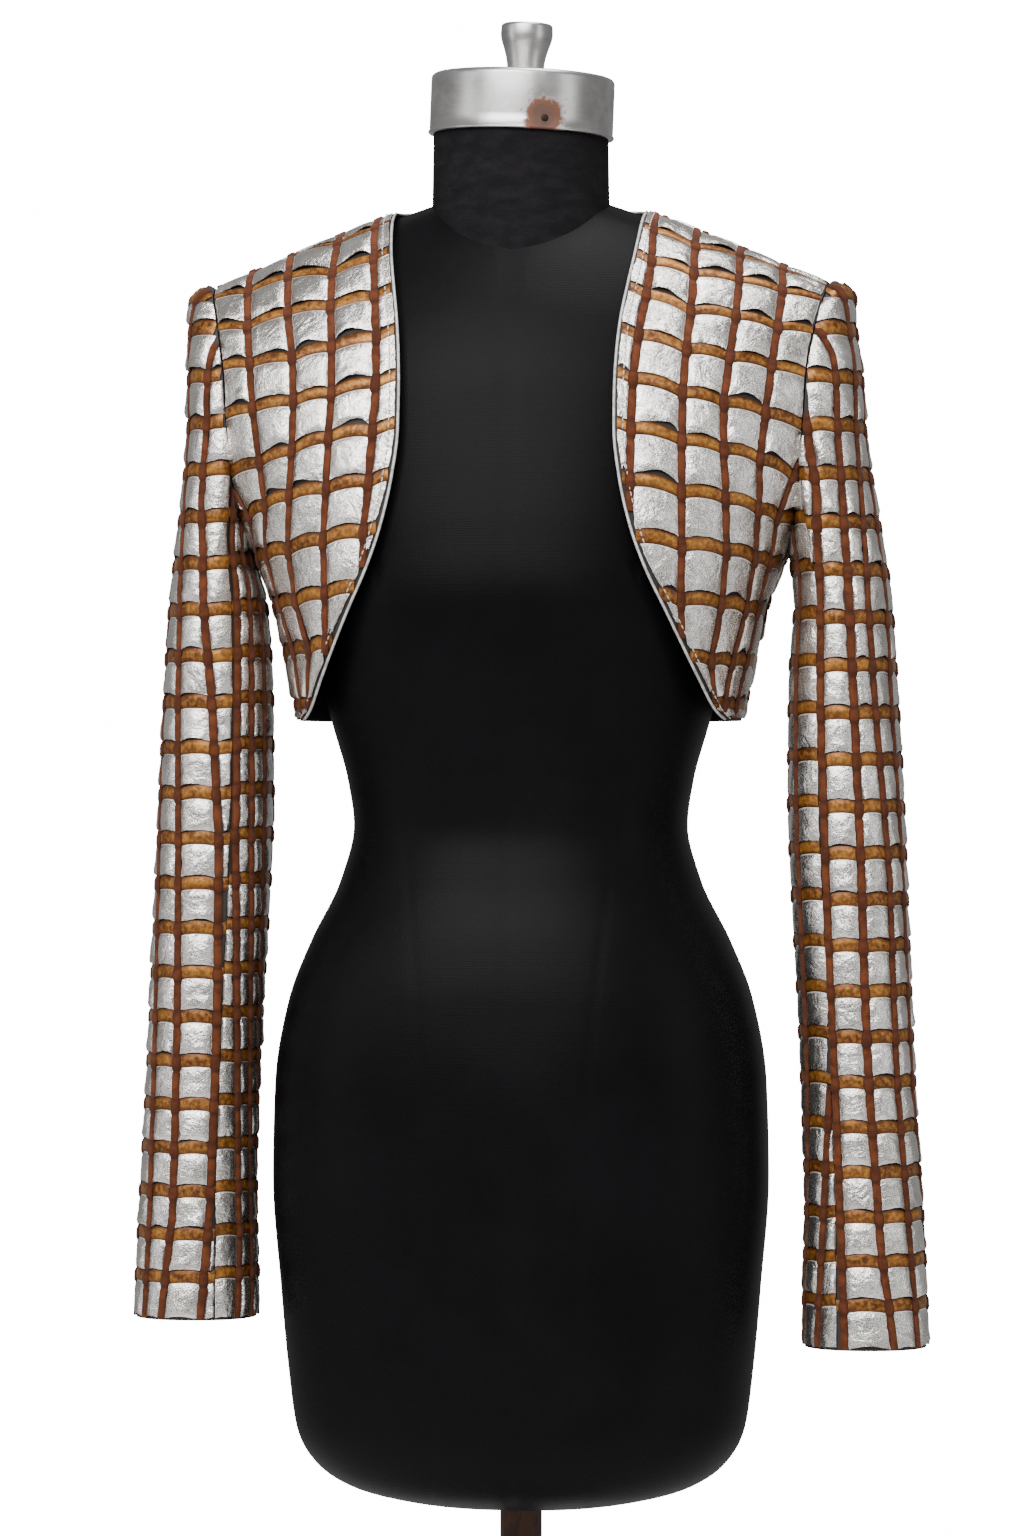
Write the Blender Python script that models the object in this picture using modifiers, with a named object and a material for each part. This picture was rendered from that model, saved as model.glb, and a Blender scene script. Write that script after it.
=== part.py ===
"""Bolero jacket of silver leather cells woven with suede and satin strips, on a dress form.

Metres, +Z up, the jacket faces -Y and its wearer's left is +X. The origin is under the middle
of the stand's round base, on the floor.
"""
import math

import bmesh
import bpy
import numpy as np

# Cloth: the outer points are the garment's skin, and every wall runs inwards from them.
WALL = 0.0016
BAND_RISE = 0.0011
SEAM_GAP = 0.0003
ARMHOLE_GAP = 0.0005

# Weave: suede strips run down the cloth, this far apart, and satin rows run across it. The
# silver bands between the rows stand up from them.
FRONT_FIRST_STRIP = 0.083
BODY_PITCH = 0.0275

# Distance between neighbouring points of the cloth along a row.
BODY_STEP = BODY_PITCH * 2 / 3
SLEEVE_STEP = 0.0152
UNDER_COLUMNS = 7

# Rows are at most this long from the middle of the body. The first sample below the shoulder
# seam is this far down, and a row's slope down the cloth is measured over this much of a row.
ROW_REACH = 0.26
SHOULDER_SAMPLE = 0.35
SLOPE_SPAN = 0.06

# Body sections bulge a little more than an ellipse, sleeve sections hardly.
BODY_POWER = 2.4
SLEEVE_POWER = 2.15

# A row's level is its height this far from the middle, and it rounds over the middle.
LEVEL_X = 0.081
ROUND_X = 0.050

# Armhole, seen from the side.
ARMHOLE_TOP = 1.4004
ARMHOLE_BOTTOM = 1.236
ARMHOLE_HALF_DEPTH = 0.054

# Hem and neck.
FRONT_HEM_ROW = 11.4
BACK_HEM_ROW = 12.5
NECK_HALF_WIDTH = 0.0813
NECK_BACK_DEPTH = 0.064

# Sleeve seams, in degrees round the sleeve from its outermost line, and the sleeve's blend
# from the armhole into its tube; just under the armhole its cells lie flat.
SLEEVE_SEAM = 114.0
ARMHOLE_BLEND = 0.045
UNDERARM_PLAIN = 0.020
ROPE_HEIGHT = 0.0022

# Front edge piping and the lining inside the back.
PIPING_RADIUS = 0.0011
LINING_WALL = 0.0008
LINING_GAP = 0.0012

# Dress form, cap, knob, pole and base.
NECK_RADIUS_TOP = 0.0560
NECK_RADIUS_FOOT = 0.0576
NECK_FOOT = 1.398
NECK_TOP = 1.4955
CAP_RADIUS = 0.0588
CAP_HEIGHT = 0.0385
CAP_TILT = 2.2
POLE_RADIUS = 0.0134
FORM_BOTTOM = 0.620
BASE_RADIUS = 0.165
BASE_HEIGHT = 0.034
TOUCH = 0.0003

# Height of the shoulder ridge and of each row of the weave down the front: row 0 is the
# shoulder seam and each later row is the middle of a satin strip.
FRONT_ROWS = np.array((
    # row, level, slope, depth
    (0.0, 1.4475, 0.442, 0.000),
    (1.0, 1.4398, 0.430, 0.025),
    (2.0, 1.4204, 0.390, 0.051),
    (3.0, 1.3940, 0.320, 0.0725),
    (4.0, 1.3653, 0.270, 0.089),
    (5.0, 1.3357, 0.240, 0.099),
    (6.0, 1.3039, 0.220, 0.106),
    (7.0, 1.2723, 0.200, 0.112),
    (8.0, 1.2367, 0.170, 0.117),
    (9.0, 1.2014, 0.130, 0.120),
    (10.0, 1.1656, 0.100, 0.118),
    (11.0, 1.1333, 0.050, 0.113),
    (11.4, 1.1220, 0.000, 0.111),
))
BACK_ROWS = np.array((
    # row, level, slope, depth
    (0.0, 1.4475, 0.442, 0.000),
    (1.0, 1.4460, 0.440, 0.026),
    (2.0, 1.4380, 0.420, 0.052),
    (3.0, 1.4190, 0.360, 0.071),
    (4.0, 1.3920, 0.300, 0.084),
    (5.0, 1.3620, 0.250, 0.093),
    (6.0, 1.3310, 0.210, 0.099),
    (7.0, 1.2990, 0.170, 0.103),
    (8.0, 1.2670, 0.140, 0.105),
    (9.0, 1.2350, 0.110, 0.105),
    (10.0, 1.2030, 0.080, 0.103),
    (11.0, 1.1710, 0.050, 0.101),
    (12.0, 1.1390, 0.020, 0.099),
    (12.5, 1.1220, 0.000, 0.098),
))
# Half-width of the jacket at its side seam, and above the underarm at its armhole.
SIDE_LINE = np.array((
    # height, half-width
    (1.1220, 0.1410),
    (1.1420, 0.1450),
    (1.1740, 0.1520),
    (1.2000, 0.1580),
    (1.2230, 0.1675),
    (1.2360, 0.1720),
    (1.2600, 0.1780),
    (1.2830, 0.1805),
    (1.3182, 0.1830),
    (1.3400, 0.1845),
    (1.3680, 0.1890),
    (1.3950, 0.1955),
    (1.4004, 0.1965),
))
# Cut-away front edge: how far it is from the middle at each height.
FRONT_EDGE = np.array((
    # height, half-width
    (1.1220, 0.1350),
    (1.1280, 0.1290),
    (1.1476, 0.1197),
    (1.1666, 0.1111),
    (1.1915, 0.0998),
    (1.2152, 0.0886),
    (1.2415, 0.0791),
    (1.2737, 0.0718),
    (1.3031, 0.0684),
    (1.3285, 0.0683),
    (1.3520, 0.0692),
    (1.3730, 0.0711),
    (1.3950, 0.0745),
    (1.4205, 0.0785),
    (1.4475, 0.0813),
))
# Sleeve tube: outer and inner line, middle and half-depth, for the sleeve that hangs closer.
SLEEVE_LINES = np.array((
    # height, outer, middle, inner, half-depth, forward
    (0.7000, 0.2475, 0.2085, 0.1690, 0.0375, 0.012),
    (0.7510, 0.2455, 0.2075, 0.1690, 0.0380, 0.011),
    (0.8150, 0.2425, 0.2060, 0.1705, 0.0385, 0.010),
    (0.8790, 0.2390, 0.2035, 0.1690, 0.0395, 0.009),
    (0.9430, 0.2360, 0.2010, 0.1665, 0.0405, 0.008),
    (1.0070, 0.2335, 0.1980, 0.1630, 0.0420, 0.007),
    (1.0710, 0.2310, 0.1955, 0.1605, 0.0435, 0.006),
    (1.1350, 0.2275, 0.1935, 0.1610, 0.0455, 0.005),
    (1.1990, 0.2235, 0.1915, 0.1655, 0.0485, 0.003),
    (1.2380, 0.2190, 0.1895, 0.1745, 0.0510, 0.001),
    (1.2630, 0.2165, 0.1875, 0.1765, 0.0530, 0.000),
    (1.2890, 0.2140, 0.1855, 0.1785, 0.0538, 0.000),
    (1.3182, 0.2125, 0.1830, 0.1760, 0.0540, 0.000),
    (1.3900, 0.2122, 0.1940, 0.1900, 0.0240, 0.000),
    (1.3960, 0.2100, 0.1957, 0.1950, 0.0180, 0.000),
    (1.4004, 0.2040, 0.1965, 0.1960, 0.0010, 0.000),
))
# How far the wearer's left sleeve stands out more than the right one.
LEFT_SWING = np.array((
    # height, outwards
    (0.7000, 0.0125),
    (1.1990, 0.0115),
    (1.2380, 0.0100),
    (1.2890, 0.0070),
    (1.3400, 0.0045),
    (1.3800, 0.0000),
    (1.4004, 0.0000),
))
# The two sleeves: side, first satin row, distance of the rows at the top, cuff height.
SLEEVES = (
    # name, side, first row, row pitch, cuff
    ("left", 1, 1.3674, 0.0309, 0.7255),
    ("right", -1, 1.3699, 0.0303, 0.7410),
)
SLEEVE_ROWS = 22
ROW_TIGHTENING = 0.0025

# Dress form: sections from the floor side up, and the last is the shoulder ridge.
FORM_ROWS = np.array((
    # level, slope, half-width, front depth, back depth
    (0.6200, 0.000, 0.034, 0.026, 0.026),
    (0.6232, 0.000, 0.063, 0.050, 0.050),
    (0.6330, 0.000, 0.106, 0.078, 0.080),
    (0.6488, 0.000, 0.131, 0.092, 0.094),
    (0.6700, 0.000, 0.143, 0.100, 0.103),
    (0.7128, 0.000, 0.149, 0.105, 0.110),
    (0.7640, 0.000, 0.1536, 0.109, 0.115),
    (0.8300, 0.000, 0.1585, 0.112, 0.119),
    (0.8920, 0.000, 0.1570, 0.113, 0.119),
    (0.9432, 0.000, 0.1485, 0.110, 0.112),
    (0.9816, 0.000, 0.1340, 0.103, 0.099),
    (1.0200, 0.000, 0.1152, 0.092, 0.083),
    (1.0550, 0.000, 0.1066, 0.086, 0.076),
    (1.0840, 0.000, 0.1104, 0.087, 0.077),
    (1.1224, 0.000, 0.1210, 0.096, 0.083),
    (1.1650, 0.040, 0.1310, 0.109, 0.090),
    (1.2014, 0.110, 0.1380, 0.1155, 0.095),
    (1.2350, 0.160, 0.1440, 0.1125, 0.098),
    (1.2700, 0.190, 0.1500, 0.1070, 0.0975),
    (1.3020, 0.210, 0.1540, 0.1010, 0.0960),
    (1.3330, 0.230, 0.1580, 0.0945, 0.0910),
    (1.3620, 0.270, 0.1620, 0.0840, 0.0835),
    (1.3900, 0.320, 0.1660, 0.0675, 0.0730),
    (1.4165, 0.390, 0.1700, 0.0460, 0.0540),
    (1.4363, 0.430, 0.1725, 0.0215, 0.0240),
    (1.4434, 0.442, 0.1740, 0.0000, 0.0000),
))

# Finishes: name, colour, roughness, metallic.
FINISHES = {
    "silver": ((0.62, 0.61, 0.59), 0.32, 0.85),
    "piping": ((0.66, 0.66, 0.65), 0.40, 0.60),
    "lining": ((0.012, 0.012, 0.014), 0.55, 0.0),
    "jersey": ((0.010, 0.010, 0.012), 0.50, 0.0),
    "neck": ((0.020, 0.016, 0.014), 0.85, 0.0),
    "steel": ((0.52, 0.52, 0.53), 0.28, 1.0),
    "pole": ((0.045, 0.022, 0.014), 0.55, 0.40),
    "base": ((0.030, 0.029, 0.029), 0.50, 0.60),
}


def read(table, column, at):
    """Read a column between a table's rows along a smooth curve that adds no waves."""
    keys, values = table[:, 0], table[:, column]
    steps = np.diff(keys)
    rises = np.diff(values) / steps
    same = rises[1:] * rises[:-1] > 0
    safe = np.where(same, rises[1:] + rises[:-1], 1.0)
    inner = np.where(same, 2 * rises[1:] * rises[:-1] / safe, 0.0)
    slopes = np.concatenate((rises[:1], inner, rises[-1:]))
    at = np.clip(np.asarray(at, float), keys[0], keys[-1])
    low = np.clip(np.searchsorted(keys, at, side="right") - 1, 0, len(steps) - 1)
    part = (at - keys[low]) / steps[low]
    start, end = values[low], values[low + 1]
    lead, trail = slopes[low] * steps[low], slopes[low + 1] * steps[low]
    curve = 2 * part ** 3 - 3 * part ** 2
    return (start * (curve + 1) - end * curve
            + lead * (part ** 3 - 2 * part ** 2 + part) + trail * (part ** 3 - part ** 2))


def ease(part):
    """Rise smoothly from 0 to 1."""
    part = np.clip(part, 0.0, 1.0)
    return part * part * (3 - 2 * part)


def armhole_depth(height):
    """Half-depth of the armhole oval at a height, and 0 below the underarm."""
    middle = (ARMHOLE_TOP + ARMHOLE_BOTTOM) / 2
    away = (height - middle) / (ARMHOLE_TOP - middle)
    return ARMHOLE_HALF_DEPTH * np.sqrt(np.clip(1 - away ** 2, 0.0, 1.0))


def armhole_floor(depth):
    """Height of the armhole oval's lower edge at a distance from its middle."""
    middle = (ARMHOLE_TOP + ARMHOLE_BOTTOM) / 2
    part = np.clip(np.abs(depth) / ARMHOLE_HALF_DEPTH, 0.0, 1.0)
    return middle - (ARMHOLE_TOP - middle) * np.sqrt(1 - part ** 2)


def row_drop(x):
    """Distance from the middle that a row's slope acts on, rounded over the middle."""
    return np.hypot(x, ROUND_X) - math.hypot(LEVEL_X, ROUND_X)


def body_frame(rows, row):
    """Give a row's level, slope, depth, widest half-width and the turn where it ends."""
    level, slope, depth = (read(rows, column, row) for column in (1, 2, 3))
    end = level - slope * 0.1
    for _ in range(12):
        end = level - slope * row_drop(read(SIDE_LINE, 1, end))
    side = read(SIDE_LINE, 1, end)
    part = np.clip(armhole_depth(end) / np.maximum(depth, 1e-6), 0.0, 0.97)
    part = np.where(depth < 1e-5, 0.0, part)
    share = (1 - part ** BODY_POWER) ** (1 / BODY_POWER)
    wide = side / share
    turn = np.arcsin(np.clip(share ** (BODY_POWER / 2), 0.0, 1.0))
    return level, slope, depth, wide, turn


def body_point(rows, facing, turn, row):
    """Point of the jacket's skin: turn runs from the middle to the side, row down the body.

    Each row is a quarter of a superellipse, and its height falls with its slope.
    """
    level, slope, depth, wide, _ = body_frame(rows, row)
    x = wide * np.sin(turn) ** (2 / BODY_POWER)
    y = depth * np.clip(np.cos(turn), 0.0, 1.0) ** (2 / BODY_POWER)
    z = level - slope * row_drop(x)
    return np.stack((x, facing * np.maximum(y, SEAM_GAP / 2), z), axis=-1)


def body_line(rows, facing, row, count=241):
    """Finely divided line of one row: its turns, its points and the length along it."""
    end = float(body_frame(rows, row)[4])
    turns = end * np.linspace(0.0, 1.0, count) ** 1.2
    points = body_point(rows, facing, turns, np.full(count, row))
    length = np.concatenate(([0.0], np.cumsum(np.linalg.norm(np.diff(points, axis=0), axis=1))))
    return turns, points, length


def front_start(points, length):
    """Length along a row at which the cut-away front edge crosses it."""
    beyond = points[:, 0] - read(FRONT_EDGE, 1, points[:, 2])
    return float(np.interp(0.0, beyond, length))


def back_start(points, length):
    """Length along a row at which the back neck's ellipse crosses it, or 0 below the neck."""
    ring = (points[:, 0] / NECK_HALF_WIDTH) ** 2 + (points[:, 1] / NECK_BACK_DEPTH) ** 2 - 1
    if ring[0] > 0:
        return 0.0
    return float(np.interp(0.0, ring, length))


def normals_of(shape, first, second, first_step, second_step):
    """Unit normals of a two-parameter surface, from its slopes each way."""
    along = shape(first + first_step, second) - shape(first - first_step, second)
    across = shape(first, second + second_step) - shape(first, second - second_step)
    normal = np.cross(along, across)
    return normal / np.maximum(np.linalg.norm(normal, axis=-1, keepdims=True), 1e-12)


def body_grid(rows, facing, start_of, row_samples, columns, end_gap):
    """Points, normals and inner points of half a body panel, on its rows and columns."""
    turns, along = [], []
    for row in row_samples:
        line_turns, points, length = body_line(rows, facing, row)
        start, end = start_of(points, length), length[-1] - end_gap
        cut = np.concatenate(([start], np.clip(columns, start, end), [end]))
        along.append((cut > start + 1e-6) & (cut < end - 1e-6))
        turns.append(np.interp(cut, length, line_turns))
    turn, free = np.array(turns), np.array(along)
    row = np.repeat(np.array(row_samples)[:, None], turn.shape[1], axis=1)
    points = body_point(rows, facing, turn, row)

    def shape(first, second):
        return body_point(rows, facing, first, np.clip(second, 0.0, None))

    normal = normals_of(shape, np.clip(turn, 0.002, 1.54), row, 1e-3, SLOPE_SPAN) * facing
    seam = np.abs(points[..., 1]) < 0.001
    normal[..., 1] = np.where(seam, 0.0, normal[..., 1])
    middle = points[..., 0] < 1e-5
    normal[..., 0] = np.where(middle, 0.0, normal[..., 0])
    normal[..., 2] += 1e-6
    normal /= np.linalg.norm(normal, axis=-1, keepdims=True)
    return points, normal, free


def sleeve_widths(side, height):
    """Outer line, middle, inner line, half-depth and forward hang of a sleeve at a height."""
    outer, middle, inner, depth, forward = (read(SLEEVE_LINES, column, height)
                                            for column in (1, 2, 3, 4, 5))
    high = height > (ARMHOLE_TOP + ARMHOLE_BOTTOM) / 2
    middle = np.where(high, read(SIDE_LINE, 1, height), middle)
    depth = np.where(high, armhole_depth(height), depth)
    swing = read(LEFT_SWING, 1, height) * (side > 0)
    low = ease((1.27 - height) / 0.08)
    return outer + swing, middle + swing * low, inner + swing * low, depth, forward


def sleeve_point(side, turn, height):
    """Point of a sleeve's skin: turn is 0 at its outermost line and a quarter at its front.

    The outer half is a half superellipse from the armhole, and the inner half starts from the
    armhole's lower edge and eases into the tube.
    """
    outer, middle, inner, depth, forward = sleeve_widths(side, height)
    power = 2 / SLEEVE_POWER
    across = np.sign(np.cos(turn)) * np.abs(np.cos(turn)) ** power
    through = np.sign(np.sin(turn)) * np.abs(np.sin(turn)) ** power
    floor = armhole_floor(depth * through)
    tube = middle - (middle - inner) * np.abs(across)
    started = ease((floor - height) / ARMHOLE_BLEND)
    under = read(SIDE_LINE, 1, floor) * (1 - started) + tube * started
    over = middle + (outer - middle) * across
    x = np.where(across >= 0, over, under)
    rope = np.sin(math.pi * np.clip(across, 0, 1)) * ease((height - 1.365) / 0.035)
    y = -depth * through - forward
    return np.stack((side * (x + ARMHOLE_GAP), y, height + ROPE_HEIGHT * rope), axis=-1)


def sleeve_end(side, height):
    """Turn at which a slice of the sleeve meets the armhole, or half a turn below it."""
    depth = sleeve_widths(side, height)[3]
    if height > (ARMHOLE_TOP + ARMHOLE_BOTTOM) / 2:
        return math.pi / 2
    if height <= ARMHOLE_BOTTOM:
        return math.pi
    part = float(np.clip(armhole_depth(height) / depth, 0.0, 1.0))
    return math.pi - math.asin(part ** (SLEEVE_POWER / 2))


def sleeve_row(first, pitch, row):
    """Height of a satin row on a sleeve; the rows draw a little closer to the cuff."""
    steps = row - 1
    return first - pitch * steps * (1 - ROW_TIGHTENING * steps)


def sleeve_normals(side, turn, height):
    """Outward unit normals of a sleeve's skin."""
    def shape(first, second):
        return sleeve_point(side, first, np.clip(second, 0.0, ARMHOLE_TOP - 1e-4))

    normal = normals_of(shape, turn, height, 1e-3, 2e-4)
    out = np.stack((side * np.cos(turn), -np.sin(turn), np.full_like(turn, 0.05)), axis=-1)
    return normal * np.sign(np.sum(normal * out, axis=-1))[..., None]


def band(rows, free):
    """Height of the silver bands: full midway between two satin rows, none on the rows."""
    middle = np.abs(rows[:, None] % 1.0 - 0.5) < 0.01
    return BAND_RISE * (middle & free)


def material(name):
    """A Principled material with this finish's colour, roughness and metallic value."""
    colour, roughness, metallic = FINISHES[name]
    finish = bpy.data.materials.get(name) or bpy.data.materials.new(name)
    finish.use_nodes = True
    shader = finish.node_tree.nodes["Principled BSDF"]
    shader.inputs["Base Color"].default_value = (*colour, 1.0)
    shader.inputs["Roughness"].default_value = roughness
    shader.inputs["Metallic"].default_value = metallic
    finish.diffuse_color = (*colour, 1.0)
    return finish


def add_object(name, mesh, finish):
    """Link a mesh as a named object with its finish."""
    piece = bpy.data.objects.new(name, mesh)
    mesh.materials.clear()
    mesh.materials.append(material(finish))
    bpy.data.collections["bolero_jacket_on_form"].objects.link(piece)
    return piece


def grid_faces(ids, closed):
    """Faces of a grid of point numbers, without the ones that have shrunk to nothing."""
    faces = []
    rows, columns = ids.shape
    for i in range(rows - 1):
        for j in range(columns if closed else columns - 1):
            k = (j + 1) % columns
            loop = (ids[i, j], ids[i, k], ids[i + 1, k], ids[i + 1, j])
            face = [p for n, p in enumerate(loop) if p != loop[n - 1]]
            if len(set(face)) == len(face) and len(face) > 2:
                faces.append(face)
    return faces


def split(face):
    """Triangles of a face, so that a wall's two sides turn the same way over a twist."""
    return [face] if len(face) == 3 else [face[:3], [face[0], *face[2:]]]


def merged(points):
    """Number the grid's points so that points in one place share a number."""
    flat = points.reshape(-1, 3)
    _, first, ids = np.unique(np.round(flat, 6), axis=0, return_index=True, return_inverse=True)
    return first, ids.reshape(points.shape[:2])


def cloth_wall(name, points, normal, raised, thickness, finish, sink=0.0, mirrored=False):
    """Closed wall of cloth: outer points raised along the normals over a plain inside."""
    first, ids = merged(points)
    skin, out = points.reshape(-1, 3)[first], normal.reshape(-1, 3)[first]
    outer = skin + out * (raised.reshape(-1)[first] - sink)[:, None]
    inner = skin - out * (thickness + sink)
    faces = [part for face in grid_faces(ids, closed=False) for part in split(face)]
    edges = {}
    for face in faces:
        for n, p in enumerate(face):
            edges[(face[n - 1], p)] = True
    rims = [(a, b) for a, b in edges if (b, a) not in edges]
    if mirrored:
        rims = [(a, b) for a, b in rims if abs(skin[a][0]) + abs(skin[b][0]) > 1e-6]
    count = len(skin)
    every = [tuple(f) for f in faces] + [tuple(p + count for p in reversed(f)) for f in faces]
    every += [(b, a, a + count, b + count) for a, b in rims]
    mesh = bpy.data.meshes.new(name)
    mesh.from_pydata(np.vstack((outer, inner)).tolist(), [], every)
    face = np.array(faces[len(faces) // 2][:3])
    facing = np.dot(np.cross(skin[face[1]] - skin[face[0]], skin[face[2]] - skin[face[0]]),
                    out[face[0]])
    if facing < 0:
        mesh.flip_normals()
    mesh.shade_smooth()
    piece = add_object(name, mesh, finish)
    if mirrored:
        mirror = piece.modifiers.new("other_half", "MIRROR")
        mirror.merge_threshold = 0.0001
    return piece


def spaced(first, last, step):
    """Evenly spaced values from first, up to but not past last."""
    return np.arange(first, last + step * 0.01, step)


def front_panel(name, side):
    """One front, from the shoulder seam to the hem and from its cut-away edge to the side."""
    rows = np.concatenate(((0.0, SHOULDER_SAMPLE), spaced(1.0, FRONT_HEM_ROW - 0.3, 0.5),
                           (FRONT_HEM_ROW,)))
    columns = spaced(FRONT_FIRST_STRIP, ROW_REACH, BODY_STEP)
    points, normal, free = body_grid(FRONT_ROWS, -1, front_start, rows, columns, 0.0)
    mirror = np.array((side, 1, 1))
    return cloth_wall(name, points * mirror, normal * mirror, band(rows, free), WALL, "silver")


def back_panel():
    """The back, cut in one piece: half of it, mirrored at the centre back."""
    rows = np.concatenate(((0.0, SHOULDER_SAMPLE), spaced(1.0, 2.0, 0.5),
                           (2.25, 2.5, back_neck_row(), 3.0),
                           spaced(3.5, BACK_HEM_ROW - 0.3, 0.5), (BACK_HEM_ROW,)))
    columns = spaced(BODY_STEP, ROW_REACH, BODY_STEP)
    points, normal, free = body_grid(BACK_ROWS, 1, back_start, rows, columns, 0.0)
    free |= points[..., 0] < 1e-5
    return cloth_wall("jacket_back", points, normal, band(rows, free), WALL, "silver",
                      mirrored=True)


def back_neck_row():
    """Row of the back that passes through the lowest point of the back neck."""
    rows = np.linspace(1.0, 4.0, 301)
    depth = read(BACK_ROWS, 3, rows)
    return float(np.interp(NECK_BACK_DEPTH, depth, rows))


def back_lining():
    """Lining inside the back, which shows at the back neck and under the back hem."""
    rows = np.array((0.0, 1.0, 2.0, back_neck_row(), *spaced(3.0, BACK_HEM_ROW - 0.3, 1.0),
                     BACK_HEM_ROW))
    columns = spaced(BODY_STEP, ROW_REACH, BODY_STEP)
    points, normal, _ = body_grid(BACK_ROWS, 1, back_start, rows, columns, 0.004)
    return cloth_wall("back_lining", points, normal, np.zeros(points.shape[:2]), LINING_WALL,
                      "lining", sink=WALL + LINING_GAP, mirrored=True)


def upper_sleeve(name, side, first, pitch, cuff):
    """Upper sleeve: the outer part, from the armhole to the cuff and from seam to seam."""
    head = ARMHOLE_TOP - np.array((0.0004, 0.0025, 0.0070, 0.0150))
    rows = spaced(1.0, SLEEVE_ROWS + 0.5, 0.5)
    heights = np.concatenate((head, sleeve_row(first, pitch, rows), (cuff,)))
    rows = np.concatenate((np.zeros(len(head)), rows, (0.0,)))
    seam = math.radians(SLEEVE_SEAM)
    columns = spaced(-6 * SLEEVE_STEP, 6.5 * SLEEVE_STEP, SLEEVE_STEP)
    turns, free = [], []
    for height in heights:
        end = min(seam, sleeve_end(side, height))
        fine = np.linspace(-end, end, 361)
        line = sleeve_point(side, fine, np.full(fine.size, height))
        length = np.concatenate(([0.0], np.cumsum(np.linalg.norm(np.diff(line, axis=0), axis=1))))
        length -= np.interp(0.0, fine, length)
        low, high = length[0] + SEAM_GAP / 2, length[-1] - SEAM_GAP / 2
        cut = np.concatenate(([low], np.clip(columns, low, high), [high]))
        free.append((cut > low + 1e-6) & (cut < high - 1e-6))
        turns.append(np.interp(cut, length, fine))
    turn = np.array(turns)
    height = np.repeat(heights[:, None], turn.shape[1], axis=1)
    return cloth_wall(name, sleeve_point(side, turn, height), sleeve_normals(side, turn, height),
                      band(rows, np.array(free)), WALL, "silver")


def under_sleeve(name, side, first, pitch, cuff):
    """Under sleeve: the part towards the body, whose top follows the armhole's lower edge."""
    rows = spaced(1.5, SLEEVE_ROWS + 0.5, 0.5)
    levels = sleeve_row(first, pitch, rows)
    levels = levels[levels < (ARMHOLE_TOP + ARMHOLE_BOTTOM) / 2]
    heights = np.concatenate((levels, (cuff,)))
    rows = np.concatenate((rows[-len(levels):], (0.0,)))
    seam = math.radians(SLEEVE_SEAM) + SEAM_GAP / 2 / 0.04
    turn = np.linspace(seam, 2 * math.pi - seam, UNDER_COLUMNS)[None, :]
    turn = turn.repeat(len(heights), axis=0)
    height = np.repeat(heights[:, None], turn.shape[1], axis=1)
    limit = height
    for _ in range(12):
        depth = sleeve_widths(side, limit)[3]
        through = np.abs(np.sin(turn)) ** (2 / SLEEVE_POWER)
        limit = np.minimum(height, armhole_floor(depth * through))
    free = armhole_floor(0.0) - height > UNDERARM_PLAIN
    free[:, (0, -1)] = False
    return cloth_wall(name, sleeve_point(side, turn, limit), sleeve_normals(side, turn, limit),
                      band(rows, free), WALL, "silver")


def edge_piping():
    """Piping along both cut-away front edges and round the back neck, as one cord."""
    front = [edge_end(FRONT_ROWS, -1, front_start, row)
             for row in (*spaced(0.3, FRONT_HEM_ROW - 0.2, 0.6), FRONT_HEM_ROW - 0.05)]
    back = [edge_end(BACK_ROWS, 1, back_start, row) for row in (2.5, 2.2, 1.8, 1.4, 1.0, 0.6, 0.3)]
    middle = body_point(BACK_ROWS, 1, np.array([1e-4, 0.02]), np.array([back_neck_row()] * 2))
    low = middle[0] * np.array((0, 1, 1))
    places = np.array([low] + [place for place, _ in back + front])
    inside = np.array([np.array((0.0, 0.55, -0.83))] + [along for _, along in back + front])
    along = np.gradient(places, axis=0)
    along[0] = (1.0, 0.0, 0.0)
    along /= np.linalg.norm(along, axis=1, keepdims=True)
    inside -= along * np.sum(inside * along, axis=1, keepdims=True)
    inside /= np.linalg.norm(inside, axis=1, keepdims=True)
    down = np.cross(along, inside)
    down *= -np.sign(0.5 * down[:, 2] + np.sign(places[:, 1]) * down[:, 1])[:, None]
    path = places - inside * (PIPING_RADIUS + 2 * SEAM_GAP) + down * WALL / 2
    path = np.vstack((path[::-1] * np.array((-1, 1, 1)), path[1:]))
    curve = bpy.data.curves.new("edge_piping", "CURVE")
    curve.dimensions = "3D"
    curve.bevel_depth = PIPING_RADIUS
    curve.bevel_resolution = 1
    curve.use_fill_caps = True
    spline = curve.splines.new("POLY")
    spline.points.add(len(path) - 1)
    for point, place in zip(spline.points, path):
        point.co = (*place, 1.0)
    piece = bpy.data.objects.new("edge_piping", curve)
    curve.materials.append(material("piping"))
    bpy.data.collections["bolero_jacket_on_form"].objects.link(piece)
    return piece


def edge_end(rows, facing, start_of, row):
    """Where a panel's cut edge crosses a row, and the way from there into the panel."""
    _, points, length = body_line(rows, facing, row)
    start = start_of(points, length)
    here, ahead = (np.array([np.interp(start + step, length, points[:, axis])
                             for axis in range(3)]) for step in (0.0, 0.004))
    return here, (ahead - here) / np.linalg.norm(ahead - here)


def turned(name, profile, segments, finish, place, parent=None):
    """Turn a profile, given from its top down as (radius, height), round the upright axis."""
    mesh = bpy.data.meshes.new(name)
    mesh.from_pydata([(radius, 0.0, height) for radius, height in reversed(profile)], [],
                     [(n, n + 1) for n in range(len(profile) - 1)])
    piece = add_object(name, mesh, finish)
    piece.location = place
    piece.parent = parent
    screw = piece.modifiers.new("turned", "SCREW")
    screw.steps = screw.render_steps = segments
    screw.use_merge_vertices = True
    screw.merge_threshold = 0.00001
    return piece


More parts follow.
